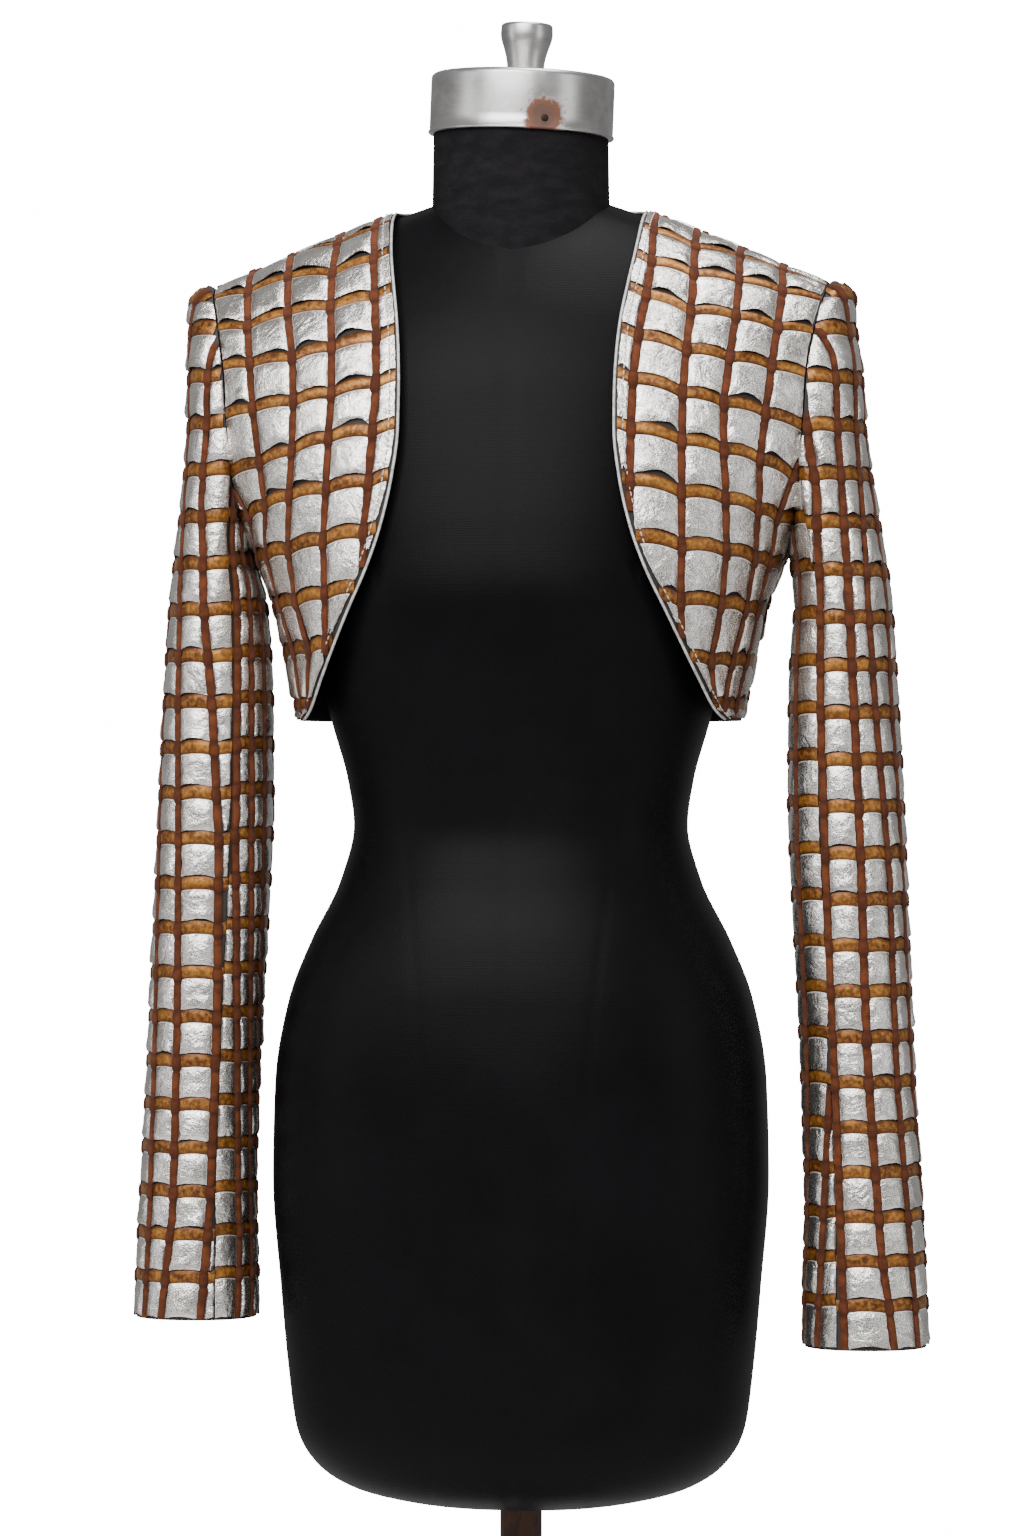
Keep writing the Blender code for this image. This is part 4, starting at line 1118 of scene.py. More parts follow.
@dataclass
class Weave:
    """Silver cells, satin rows and suede strips on one piece of cloth.

    Attributes:
        name: The cloth's name, which its pieces' names start with.
        chart: The cloth's surface.
        columns: Where the suede strips run, in metres along the rows: a line for each strip,
            with its place at each of the knots.
        rows: The satin rows, in rows down the cloth.
        satin: Half-width of a satin row.
        suede: Half-width of a suede strip.
        arch: How far a satin row arches up in the middle of a cell, in metres.
        flap: Highest lift of a cell's lower edge.
        gap: Furthest that a lifted lower edge draws back from the satin row.
        margin: Distance from the cloth's edges to the weave.
        seed: Start of this cloth's random numbers.
        knots: Rows at which the strips' places are given.
        bend: For each knot, how far down each strip's crossing lies, in rows, or nothing.
        hem: Width over which the cells lie flatter beside the cloth's starting edge.
        cell_grid: Steps across and down a cell.
        leather: Thickness of a cell.
        cell_least: Least width that a cell tapers to, and least that it has at its widest.
        cell_depth: Least depth of a cell, in rows.
        satin_step: Distance between two points along a satin row.
        strip_step: Distance between two points along a suede strip, in rows.
    """

    name: str
    chart: Chart
    columns: Array
    rows: Array
    satin: float = 0.0042
    suede: float = 0.0027
    arch: float = 0.0024
    flap: float = 0.0026
    gap: float = 0.0010
    margin: float = 0.0009
    seed: int = 1
    cell_grid: tuple[int, int] = (10, 8)
    leather: float = 0.0005
    knots: tuple[float, ...] = (0.0,)
    bend: Array | None = None
    hem: float = 0.0
    cell_least: tuple[float, float] = (0.0010, 0.0032)
    cell_depth: float = 0.22
    satin_step: float = 0.0014
    strip_step: float = 0.06

    def _edges(self, v: Array) -> Array:
        """Places of the strips at each row, and of one more pitch on either side."""
        lines = np.stack([np.interp(v, self.knots, line) for line in self.columns], axis=-1)
        pitch = float(np.diff(self.columns[:, 0]).mean())
        return np.concatenate((lines[..., :1] - pitch, lines, lines[..., -1:] + pitch), axis=-1)

    def _hump(self, u: Array, v: Array | float) -> Array:
        """0 at each suede strip and 1 midway between two: a sine raised to a low power."""
        edges = self._edges(np.broadcast_to(v, u.shape))
        j = (edges[..., 1:-1] <= u[..., None]).sum(axis=-1)[..., None]
        low, high = (np.take_along_axis(edges, k, -1)[..., 0] for k in (j, j + 1))
        return np.sin(math.pi * np.clip((u - low) / (high - low), 0.0, 1.0)) ** 0.7

    def _course(self, row: Array | float, u: Array) -> Array:
        """Middle line of a satin row: it arches up between the strips and wavers a little."""
        drift = lattice_noise(u, np.asarray(row) * 5.0, self.seed) * 0.0006
        return (row + self._fall(row, u)
                - (self.arch * self._hump(u, row) + drift) / self.chart.pitch)

    def _fall(self, v: Array | float, u: Array) -> Array:
        """How far down the weave's row v lies at u, in rows, read between the crossings."""
        v, u = np.broadcast_arrays(np.asarray(v, float), u)
        if self.bend is None:
            return np.zeros(u.shape)
        edges = self._edges(v)[..., 1:-1]
        falls = np.stack([np.interp(v, self.knots, line) for line in self.bend], axis=-1)
        j = np.clip((edges <= u[..., None]).sum(axis=-1) - 1, 0, edges.shape[-1] - 2)[..., None]
        low, high, before, after = (np.take_along_axis(table, k, -1)[..., 0]
                                    for table in (edges, falls) for k in (j, j + 1))
        part = np.clip((u - low) / (high - low), 0.0, 1.0)
        return before + (after - before) * part

    @staticmethod
    def _runs(clear: Array, shortest: int) -> list[slice]:
        """Stretches in which every mark is set."""
        starts = np.flatnonzero(clear & ~np.r_[False, clear[:-1]])
        ends = np.flatnonzero(clear & ~np.r_[clear[1:], False]) + 1
        return [slice(a, b) for a, b in zip(starts, ends) if b - a >= shortest]

    def cloth(self, backing: Finish, lining: Finish) -> Piece:
        """Wall of cloth under the weave, whose inner side is the lining.

        Args:
            backing: The outer side's finish, near-black as painted shade in the gaps.
            lining: The inner side's finish.

        Returns:
            The cloth.
        """
        chart, mesh = self.chart, Mesh()
        down = np.linspace(chart.first, chart.last, int((chart.last - chart.first) * 5) + 2)
        halves = (1,) if not isinstance(chart, BackChart) else (1, -1)
        for half in halves:
            share = np.linspace(0.0, 1.0, 31)[None, :]
            v = np.repeat(down[:, None], share.size, axis=1)
            u = (chart.start(v) + (chart.end(v) - chart.start(v)) * share) * half
            marks = np.zeros(len(walled(*u.shape)), int)
            outer_faces = (u.shape[0] - 1) * (u.shape[1] - 1)
            marks[outer_faces:2 * outer_faces] = 1
            mesh.wall(chart, (u, v), (-0.0002, -WALL), np.stack((u, v * chart.pitch), axis=-1),
                      mark=marks)
        return mesh.build(self.name + "_cloth", backing, lining, slot="lining")

    def _sides(self, column: int, v: Array) -> tuple[Array, Array]:
        """Left and right sides of the cells between two strips at each row."""
        edges = self._edges(v)
        low = edges[..., column] + self.suede * 0.97
        high = edges[..., column + 1] - self.suede * 0.97
        return (self.chart.within(low, high, v + self._fall(v, low), self.margin)[0],
                self.chart.within(low, high, v + self._fall(v, high), self.margin)[1])

    def _cell_list(self) -> list[tuple[int, float, float, float, float]]:
        """Each cell's column, rows above and below, and clear stretch from 0 to 1 between them."""
        chart, found = self.chart, []
        levels = np.concatenate(([chart.first], self.rows[(self.rows > chart.first + 0.15)
                                                        & (self.rows < chart.last - 0.1)],
                                 [chart.last]))
        share = np.linspace(0.0, 1.0, 25)
        for top, bottom in zip(levels[:-1], levels[1:]):
            for column in range(len(self.columns) + 1):
                v = top + (bottom - top) * (0.1 + 0.8 * share)
                left, right = self._sides(column, v)
                deep = self._ends(top, bottom, (left + right) / 2)
                clear = np.flatnonzero(right - left > self.cell_least[0])
                if (len(clear) > 4 and (right - left).max() > self.cell_least[1]
                        and (deep[1] - deep[0]).max() > self.cell_depth):
                    found.append((column, top, bottom, share[clear[0]], share[clear[-1]]))
        return found

    def _ends(self, top: float, bottom: float, u: Array) -> tuple[Array, Array]:
        """Where a cell's upper and lower edges lie, in rows, between two satin rows."""
        chart, half = self.chart, self.satin / self.chart.pitch
        edge = self.margin / chart.pitch
        upper = top + edge if top <= chart.first else top + self._fall(top, u) + half
        lower = bottom - edge if bottom >= chart.last else (
            bottom + self._fall(bottom, u) - half - 0.0005 / chart.pitch)
        upper = np.maximum(upper, chart.top(u))
        return upper, np.maximum(lower + 0 * u, upper + 0.01)

    def cells(self, silver: Finish) -> Piece:
        """Leather cells: each is a thin puffed patch whose lower edge lifts off the satin.

        The height is a puff, high in the middle and low at the edges, plus a flap that grows
        towards the lower edge round a random place, plus small buckles.
        """
        chart, mesh = self.chart, Mesh()
        random = np.random.default_rng(self.seed)
        rows, columns = self.cell_grid[1] + 1, self.cell_grid[0] + 1
        b, a = np.meshgrid(np.linspace(0, 1, rows), np.linspace(0, 1, columns), indexing="ij")
        for column, top, bottom, low, high in self._cell_list():
            lift, place, tone, turn, puff, draw = random.random(6)
            share = low + (high - low) * b
            centre_v = top + (bottom - top) * (0.1 + 0.8 * share)
            u0, u1 = self._sides(column, centre_v)
            ragged = random.normal(0.0, 0.00022, (rows, 2))
            u0, u1 = u0 + ragged[:, :1], u1 + ragged[:, 1:]
            u = u0 + (u1 - u0) * a
            bias = np.exp(-((a - 0.15 - 0.7 * place) / 0.36) ** 2) * (1 - np.abs(2 * a - 1) ** 8)
            drawn = self.gap * min(max(2.2 * draw - 0.9, 0.0), 1.0) * bias * b ** 5
            upper, lower = self._ends(top, bottom, u)
            shift = (self.arch * self._hump(u, centre_v) + drawn) / chart.pitch
            v = np.clip(upper + (lower - upper) * share - shift, chart.first + 0.02,
                        chart.last - 0.02)
            v = v + (random.random(columns)[None, :] - 0.5) * 0.0005 / chart.pitch * (b > 0.9)
            puffed = ((1 - np.abs(2 * a - 1) ** 3.5) * (1 - np.abs(2 * b - 1) ** 4)) ** 0.6
            flap = self.flap * (0.15 + 0.5 * lift + 0.35 * draw) * b ** 3.2 * bias
            buckle = lattice_noise(u * 2.2, v * 4.0, self.seed + tone * 9) * 0.00035 * puffed
            slant = (a - 0.5) * (turn - 0.5) * 0.0008
            height = (0.0005 + (0.0009 + 0.0009 * puff) * puffed + flap + buckle + slant * puffed
                      + 0.0004 * b)
            if self.hem:
                away = ease((u - chart.start(v) - 0.003) / self.hem)
                height = height * away + 0.0012 * (1 - away)
            mesh.wall(chart, (u, v), (height, height - self.leather), np.stack((a, b), axis=-1),
                      tone)
        return mesh.build(self.name + "_cells", silver, slot="silver_leather")

    def _ribbon(self, mesh: Mesh, centre: tuple[Array, Array], half: Array,
                crown: Array, upright: bool, tone: Array) -> None:
        """Closed flat tube along a line on the cloth, with a crowned section of six points.

        Args:
            mesh: Where it is added.
            centre: The line's u and v.
            half: Half-width along the line.
            crown: Height of its middle over the skin along the line.
            upright: Whether it runs down the cloth, so that its width is along u.
            tone: Tone along the line.
        """
        across = np.array((-1.0, -0.62, 0.0, 0.62, 1.0, 0.0))
        rise = np.array((0.45, 0.94, 1.0, 0.94, 0.45, 0.0))
        sink = np.array((0.0, 0.0, 0.0, 0.0, 0.0, -0.0003))
        u, v = (np.repeat(line[:, None], 6, axis=1) for line in centre)
        offset = half[:, None] * across
        if upright:
            u = u + offset
        else:
            v = v + offset / self.chart.pitch
        points = self.chart.lift(u, v, crown[:, None] * rise + sink)
        faces = quads(len(half), 6, round_it=True)
        last = (len(half) - 1) * 6
        caps = np.array(((0, 1, 2, 5), (2, 3, 4, 5)))
        faces = np.concatenate((faces, caps[:, ::-1], caps + last))
        length = np.linspace(0.0, 1.0, len(half))[:, None].repeat(6, axis=1)
        width = np.broadcast_to((across + 1) / 2, u.shape)
        where = np.stack((width, length) if upright else (length, width), axis=-1)
        normals = self.chart.normal(u, v).reshape(-1, 3)
        look = faces[(faces[:, 0] % 6 == 2) & (faces[:, 1] % 6 == 3)][:6]
        flat = points.reshape(-1, 3)
        if len(look):
            normal = np.cross(flat[look[:, 1]] - flat[look[:, 0]],
                              flat[look[:, 2]] - flat[look[:, 0]])
            if np.sum(normal * normals[look[:, 0]]) < 0:
                faces = faces[:, ::-1]
        mesh.add(points, faces, where, np.repeat(tone, 6))

    def satin_rows(self, satin: Finish) -> Piece:
        """Satin rows, narrower under each suede strip and crowned between them."""
        chart, mesh = self.chart, Mesh()
        for row in self.rows[(self.rows > chart.first + 0.1) & (self.rows < chart.last)]:
            for start, end in chart.spans(float(row)):
                margin = self.margin * 0.5
                reach = 0.03 if self.bend is not None else -margin
                u = np.linspace(start - reach, end + reach,
                                max(4, int((end - start + 2 * reach) / self.satin_step)))
                v = self._course(float(row), u)
                low, high = chart.within(u - 0.001, u + 0.001, v, margin - 0.0012)
                inside = (high - low > 0.0019) & (v > chart.top(u) + 0.12)
                for run in self._runs(inside, 4):
                    hump = self._hump(u[run], float(row))
                    half = self.satin * (0.86 + 0.20 * hump)
                    uneven = lattice_noise(u[run] * 3, row, self.seed)
                    crown = 0.0007 + 0.0006 * hump + 0.0002 * uneven
                    tone = 0.5 + 0.5 * lattice_noise(u[run], row * 7.0, self.seed + 3)
                    self._ribbon(mesh, (u[run], v[run]), half, crown, False, tone)
        return mesh.build(self.name + "_satin_rows", satin, slot="satin")

    def suede_strips(self, suede: Finish) -> Piece:
        """Suede strips down the cloth, squared and raised where they cross a satin row."""
        chart, mesh = self.chart, Mesh()
        for column in self.columns:
            v = np.arange(chart.first + 0.02, chart.last - 0.01, self.strip_step)
            way = np.interp(v, self.knots, column)
            down = v + self._fall(v, way)
            low, high = chart.within(way - self.suede * 0.4, way + self.suede * 0.4, down, 0.0)
            clear = ((high - low > self.suede * 0.75) & (down > chart.top(way) + 0.01)
                     & (down < chart.last - 0.01))
            for run in self._runs(clear, 6):
                line = v[run]
                near = np.abs(line[:, None] - self.rows[None, :]).min(axis=1)
                knot = ease((0.19 - near) / 0.06)
                crease = np.exp(-((near - 0.17) / 0.05) ** 2)
                wobble = lattice_noise(line * 0.07, line * 2.0, self.seed + column[0] * 90)
                half = self.suede * (1.0 + 0.18 * knot - 0.16 * crease + 0.10 * wobble)
                crown = 0.0020 + 0.0007 * knot - 0.0006 * crease
                # The tone given here is painted shade: darker where the strip crosses a satin row,
                # darker still in the creases beside the crossing.
                self._ribbon(mesh, (way[run] + 0.0004 * wobble, down[run]), half, crown, True,
                             0.62 - 0.2 * knot - 0.6 * crease)
        return mesh.build(self.name + "_suede_strips", suede, slot="suede")


def lathe(profile: Sequence[tuple[float, float]], segments: int, tilt: float = 0.0,
          place: Sequence[float] = (0.0, 0.0, 0.0)) -> tuple[Array, Array, Array]:
    """Turn a profile round the upright axis, then lean it towards +X and move it.

    Args:
        profile: (radius, height) from the bottom's middle to the top's middle, outside.
        segments: Steps round it.
        tilt: Lean in degrees.
        place: Where its origin goes.

    Returns:
        Points, faces and map coordinates (share round it, share up it).
    """
    radius, height = np.array(profile).T
    radius = np.maximum(radius, 1e-5)
    turn = np.linspace(0.0, 2 * math.pi, segments, endpoint=False)[None, :]
    points = np.stack((radius[:, None] * np.cos(turn), radius[:, None] * np.sin(turn),
                       height[:, None] + 0 * turn), axis=-1)
    lean = math.radians(tilt)
    x, z = points[..., 0], points[..., 2]
    points = np.stack((x * math.cos(lean) + z * math.sin(lean), points[..., 1],
                       z * math.cos(lean) - x * math.sin(lean)), axis=-1) + np.array(place)
    around = np.broadcast_to(turn / (2 * math.pi), points.shape[:2])
    up = np.broadcast_to(np.linspace(0, 1, len(radius))[:, None], points.shape[:2])
    return (points.reshape(-1, 3), ringed(len(radius), segments),
            np.stack((around, up), axis=-1).reshape(-1, 2))


def rounded(radius: float, height: float, corner: float, steps: int = 6) -> list:
    """Profile points of a quarter-round corner, from the side up to the top face."""
    turns = [math.pi / 2 * n / steps for n in range(steps + 1)]
    return [(radius - corner + corner * math.cos(t), height - corner + corner * math.sin(t))
            for t in turns]


def tube(path: Array, radius: Array | float, sides: int = 8,
         up: Sequence[float] = (0.0, 0.0, 1.0)) -> tuple[Array, Array, Array]:
    """Round closed tube along a path: rings square to it, with both ends drawn in.

    Args:
        path: Points along its middle.
        radius: Its radius, or one for each point.
        sides: Points round it.
        up: A direction that is never along the path.

    Returns:
        Points, faces and map coordinates (metres along it, share round it).
    """
    along = unit(np.gradient(path, axis=0))
    across = unit(np.cross(along, np.array(up)))
    over = np.cross(across, along)
    turn = np.linspace(0.0, 2 * math.pi, sides, endpoint=False)
    size = np.broadcast_to(radius, len(path))[:, None, None]
    points = path[:, None, :] + size * (across[:, None, :] * np.cos(turn)[None, :, None]
                                        + over[:, None, :] * np.sin(turn)[None, :, None])
    length = np.concatenate(([0.0], np.cumsum(np.linalg.norm(np.diff(path, axis=0), axis=1))))
    where = np.stack((length[:, None] + 0 * turn[None, :],
                      (turn / (2 * math.pi))[None, :] + 0 * length[:, None]), axis=-1)
    faces = ringed(len(path), sides)
    flat = points.reshape(-1, 3)
    first = faces[0]
    normal = np.cross(flat[first[1]] - flat[first[0]], flat[first[2]] - flat[first[0]])
    if normal @ (flat[first[0]] - path[0]) < 0:
        faces = faces[:, ::-1]
    return flat, faces, where.reshape(-1, 2)


def spaced_along(path: Array, step: float) -> Array:
    """Points along a path, a step apart."""
    length = np.concatenate(([0.0], np.cumsum(np.linalg.norm(np.diff(path, axis=0), axis=1))))
    at = np.linspace(0.0, length[-1], max(2, int(round(length[-1] / step)) + 1))
    return np.stack([np.interp(at, length, path[:, axis]) for axis in range(3)], axis=-1)


@dataclass
class Seams:
    """Piping and topstitching of the jacket.

    Attributes:
        piping_radius: Radius of the covered cord.
        stitch: Length of a stitch.
        gap: Distance between two stitches.
        inside: Distance of the topstitching from the edge.
        above: Height of the stitches' middle over the skin.
        thread: Radius of a stitch.
    """

    piping_radius: float = 0.0009
    stitch: float = 0.0030
    gap: float = 0.0013
    inside: float = 0.0046
    above: float = 0.0020
    thread: float = 0.00042

    def edge_line(self, chart: Chart, first: float, last: float, inside: float,
                  height: float) -> Array:
        """Points along a cloth's starting edge, a distance inside it and above its skin."""
        v = np.linspace(first, last, int(abs(last - first) * 14) + 2)
        return chart.lift(chart.start(v) + inside, v, height)

    def neck_and_fronts(self, fronts: dict[int, Chart], back: Chart, inside: float,
                        height: float) -> Array:
        """One line from hem to hem: up a front edge, round the back neck, and down the other."""
        rows = np.linspace(3.2, 1.0, 400)
        v = np.linspace(0.05, float(np.interp(-1e-6, -back.start(rows), rows)), 60)
        legs = []
        for side in (-1, 1):
            front = self.edge_line(fronts[side], 11.34, 0.02, inside, height)
            behind = back.lift((back.start(v) + inside) * side, v, height)
            leg = np.vstack((front, behind))
            legs.append(leg[np.abs(leg[:, 0]) > 0.004])
        return spaced_along(np.vstack((legs[0], legs[1][::-1])), 0.003)

    def piping(self, fronts: dict[int, Chart], back: Chart,
               finish: Finish) -> Piece:
        """Covered cord round the cut-away edges and the back neck, just off the cloth's edge."""
        path = self.neck_and_fronts(fronts, back, 0.0, 0.0002)
        inner = self.neck_and_fronts(fronts, back, 0.004, 0.0002)
        nearest = np.array([inner[np.argmin(np.linalg.norm(inner - p, axis=1))] for p in path])
        path = path - unit(nearest - path) * (self.piping_radius * 0.9)
        for _ in range(3):
            path[1:-1] = (path[:-2] + 2 * path[1:-1] + path[2:]) / 4
        mesh = Mesh()
        points, faces, where = tube(path, self.piping_radius, 10, up=(0.12, 1.0, 0.05))
        mesh.add(points, faces, where)
        return mesh.build("edge_piping_cord", finish, slot="piping")

    def topstitch(self, fronts: dict[int, Chart], back: Chart,
                  finish: Finish) -> Piece:
        """Row of separate stitches inside the edges, each swelling in its middle."""
        mesh = Mesh()
        swell = np.array((0.35, 0.9, 1.0, 0.9, 0.35))
        step, pitch = 0.0005, self.stitch + self.gap
        fine = spaced_along(self.neck_and_fronts(fronts, back, self.inside, self.above), step)
        length = np.arange(len(fine)) * step
        for start in np.arange(pitch / 2, length[-1] - self.stitch, pitch):
            at = np.linspace(start, start + self.stitch, 5)
            path = np.stack([np.interp(at, length, fine[:, axis]) for axis in range(3)], -1)
            points, faces, where = tube(path, self.thread * swell, 6, up=(0.21, 0.9, 0.3))
            mesh.add(points, faces, where)
        return mesh.build("edge_topstitch", finish, slot="piping")


@dataclass
class DressForm:
    """The limbless form with its neck, cap, knob, pole and base.

    Attributes:
        neck_radius_top, neck_radius_foot: Radius of the neck under the cap and at its foot.
        neck_foot, neck_top: Heights of its two ends; the foot is inside the torso.
        cap_radius, cap_height: Size of the steel cap.
        screw_turn, screw_height: Where the cap's screw is, from the front and from its foot.
        tilt: Lean of the neck's top, the cap and the knob, in degrees.
        pole_radius, bottom: Radius of the pole, and height of the torso's underside.
        base_radius, base_height, hub_radius: Size of the base and of the hub for the pole.
        touch: Gap between two parts that rest on each other.
    """

    neck_radius_top: float = 0.0560
    neck_radius_foot: float = 0.0576
    neck_foot: float = 1.398
    neck_top: float = 1.4955
    cap_radius: float = 0.0588
    cap_height: float = 0.0385
    screw_turn: float = math.radians(20.1)
    screw_height: float = 0.0062
    tilt: float = 2.2
    pole_radius: float = 0.0134
    bottom: float = 0.620
    base_radius: float = 0.165
    base_height: float = 0.034
    hub_radius: float = 0.026
    touch: float = 0.0003

    def torso_point(self, turn: Array, row: Array) -> Array:
        """Form's skin: superellipse sections from a smooth reading of the table's rows."""
        keys = np.arange(len(FORM_ROWS), dtype=float)[:, None]
        table = np.hstack((keys, FORM_ROWS))
        level, slope, half, front, back = (read(table, column, row) for column in range(1, 6))
        power = 2 / BODY_POWER
        x = half * np.sign(np.sin(turn)) * np.abs(np.sin(turn)) ** power
        depth = np.where(np.cos(turn) > 0, front, back)
        y = -depth * np.sign(np.cos(turn)) * np.abs(np.cos(turn)) ** power
        return np.stack((x, y, level - slope * row_drop(x)), axis=-1)

    def torso(self, jersey: Finish) -> Piece:
        """Padded torso with its cover's seams pressed in: centre front and back, and princess."""
        rows, around = 150, 288
        row = np.linspace(0.0, len(FORM_ROWS) - 1.0, rows)[:, None]
        turn = np.linspace(0.0, 2 * math.pi, around, endpoint=False)[None, :] + 0 * row
        row = row + 0 * turn
        points = self.torso_point(turn, row)
        step = self.torso_point(turn + 0.01, row) - self.torso_point(turn - 0.01, row)
        down = (self.torso_point(turn, np.minimum(row + 0.1, len(FORM_ROWS) - 1.0))
                - self.torso_point(turn, np.maximum(row - 0.1, 0.0)))
        normal = unit(np.cross(step, down) + 1e-12)
        normal = np.where(np.sum(normal * (points - np.array((0, 0, 1.0))) * np.array((1, 1, 0)),
                                 axis=-1, keepdims=True) < 0, -normal, normal)
        height = points[..., 2]
        press = np.zeros_like(height)
        princess = 0.066 + 0.020 * np.sin((height - 1.05) * 5.2)
        for line in (0.0, princess):
            away = np.abs(np.abs(points[..., 0]) - line)
            press = np.maximum(press, np.exp(-(away / 0.0012) ** 2) * (np.cos(turn) ** 2 > 0.05))
        points = points - normal * (0.0005 * press)[..., None]
        flat = points.reshape(-1, 3)
        where = np.stack((turn / (2 * math.pi), row / rows), axis=-1)
        mesh = Mesh()
        mesh.add(flat, outwards(flat, ringed(rows, around), normal.reshape(-1, 3)), where,
                 1 - press.ravel())
        piece = mesh.build("form_torso_cover", jersey, slot="jersey")
        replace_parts(piece, "form_torso")
        return piece

    def neck(self, cloth: Finish) -> Piece:
        """Neck covered in cloth, with a welt at its foot seam, cut at the cap's lean on top."""
        rows, around = 60, 144
        up = np.linspace(0.0, 1.0, rows)[:, None]
        turn = np.linspace(0.0, 2 * math.pi, around, endpoint=False)[None, :] + 0 * up
        up = up + 0 * turn
        seam = 0.30 - 0.16 * (-np.sin(turn)) + 0.02 * np.cos(turn)
        welt = np.exp(-((up - seam) / 0.016) ** 2)
        radius = self.neck_radius_foot + (self.neck_radius_top - self.neck_radius_foot) * up
        radius = radius + 0.0007 * welt - 0.0004 * np.exp(-((up - seam - 0.035) / 0.010) ** 2)
        x, y = radius * np.cos(turn), radius * np.sin(turn)
        lean = math.tan(math.radians(self.tilt))
        foot = self.neck_foot + self.touch
        z = foot + (self.neck_top - foot) * up - x * lean * ease(up)
        points = np.stack((x, y, z), axis=-1).reshape(-1, 3)
        mesh = Mesh()
        mesh.add(points, ringed(rows, around), np.stack((turn / (2 * math.pi), up), axis=-1),
                 welt.ravel())
        piece = mesh.build("form_neck_cover", cloth, slot="neck_cloth")
        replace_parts(piece, "form_neck")
        return piece

    def _turned(self, name: str, node: str, profile: list, segments: int,
                finish: Finish, slot: str, tilt: float = 0.0,
                place: Sequence[float] = (0.0, 0.0, 0.0)) -> None:
        """Make a lathed piece that replaces a solid; the rest is as lathe takes it."""
        mesh = Mesh()
        mesh.add(*lathe(profile, segments, tilt, place))
        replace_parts(mesh.build(name, finish, slot=slot), node)

    def cap(self, steel: Finish, dark: Finish) -> None:
        """Steel cap with a rolled lower edge, and a screw sunk in its front."""
        seat = (0.0, 0.0, self.neck_top + self.touch)
        r, h = self.cap_radius, self.cap_height
        profile = [(0.0, 0.0), (r + 0.0003, 0.0), (r + 0.0008, 0.0005), (r + 0.0008, 0.0012),
                   (r + 0.0003, 0.0019), (r, 0.0022), (r, 0.010), (r, 0.020),
                   *rounded(r, h, 0.0035), (r - 0.012, h), (0.022, h), (0.0, h)]
        self._turned("neck_cap_shell", "neck_cap", profile, 128, steel, "steel", self.tilt, seat)
        turn = self.screw_turn - math.pi / 2
        out = np.array((math.cos(turn), math.sin(turn), 0.0))
        side = np.array((-math.sin(turn), math.cos(turn), 0.0))
        rise = np.array((0.0, 0.0, 1.0))
        place = r * out + (seat[2] + self.screw_height) * rise
        rings, around = [(0.00001, 0.0007), (0.0010, 0.0008), (0.0019, 0.0006),
                         (0.0024, 0.0001), (0.0024, -0.0008)], 20
        angle = np.linspace(0, 2 * math.pi, around, endpoint=False)[:, None]
        points = np.concatenate([place + out * lift + size * (side * np.cos(angle)
                                                              + rise * np.sin(angle))
                                 for size, lift in rings])
        screw = Mesh()
        screw.add(points, outwards(points, ringed(len(rings), around),
                                   np.tile(out, (len(points), 1))), np.zeros((len(points), 2)))
        screw.build("cap_screw", dark, slot="steel")

    def knob(self, steel: Finish) -> None:
        """Turned knob on the cap, waisted below its rounded head."""
        lean, aside = math.radians(self.tilt), 0.0012
        above = self.cap_height + self.touch
        seat = (aside * math.cos(lean) + above * math.sin(lean), 0.0,
                self.neck_top + self.touch + above * math.cos(lean) - aside * math.sin(lean))
        profile = [(0.0, 0.0), (0.0118, 0.0), (0.0118, 0.0050), (0.0121, 0.0080),
                   (0.0128, 0.0120), (0.0142, 0.0170), (0.0156, 0.0210), (0.0163, 0.0235),
                   (0.0168, 0.0265), *rounded(0.0165, 0.0335, 0.0022), (0.0135, 0.0333),
                   (0.0125, 0.0327), (0.0060, 0.0328), (0.0, 0.0330)]
        self._turned("cap_knob_turned", "cap_knob", profile, 72, steel, "steel", self.tilt, seat)

    def stand(self, pole: Finish, base: Finish) -> None:
        """Pole under the form, and the round weighted base with its hub."""
        low, high, r = self.base_height + self.touch, self.bottom - self.touch, self.pole_radius
        side = [(r, height) for height in np.linspace(low, high, 25)]
        self._turned("stand_pole_tube", "stand_pole", [(0.0, low), *side, (0.0, high)], 64, pole,
                     "pole")
        wide, tall, hub = self.base_radius, self.base_height, self.hub_radius
        profile = [(0.0, 0.0), (wide, 0.0), (wide, 0.003), *rounded(wide, 0.0090, 0.004),
                   (wide - 0.012, 0.0105), (0.100, 0.0145), (0.060, 0.0166), (0.034, 0.0185),
                   (hub, 0.0225), *rounded(hub, tall, 0.003), (0.0, tall)]
        self._turned("stand_base_cast", "stand_base", profile, 128, base, "base")


@dataclass(frozen=True)
class SleeveCut:
    """One sleeve: its side and name, its first row's height, its rows' pitch and its cuff."""

    side: int
    name: str
    first_row: float
    pitch: float
    cuff: float


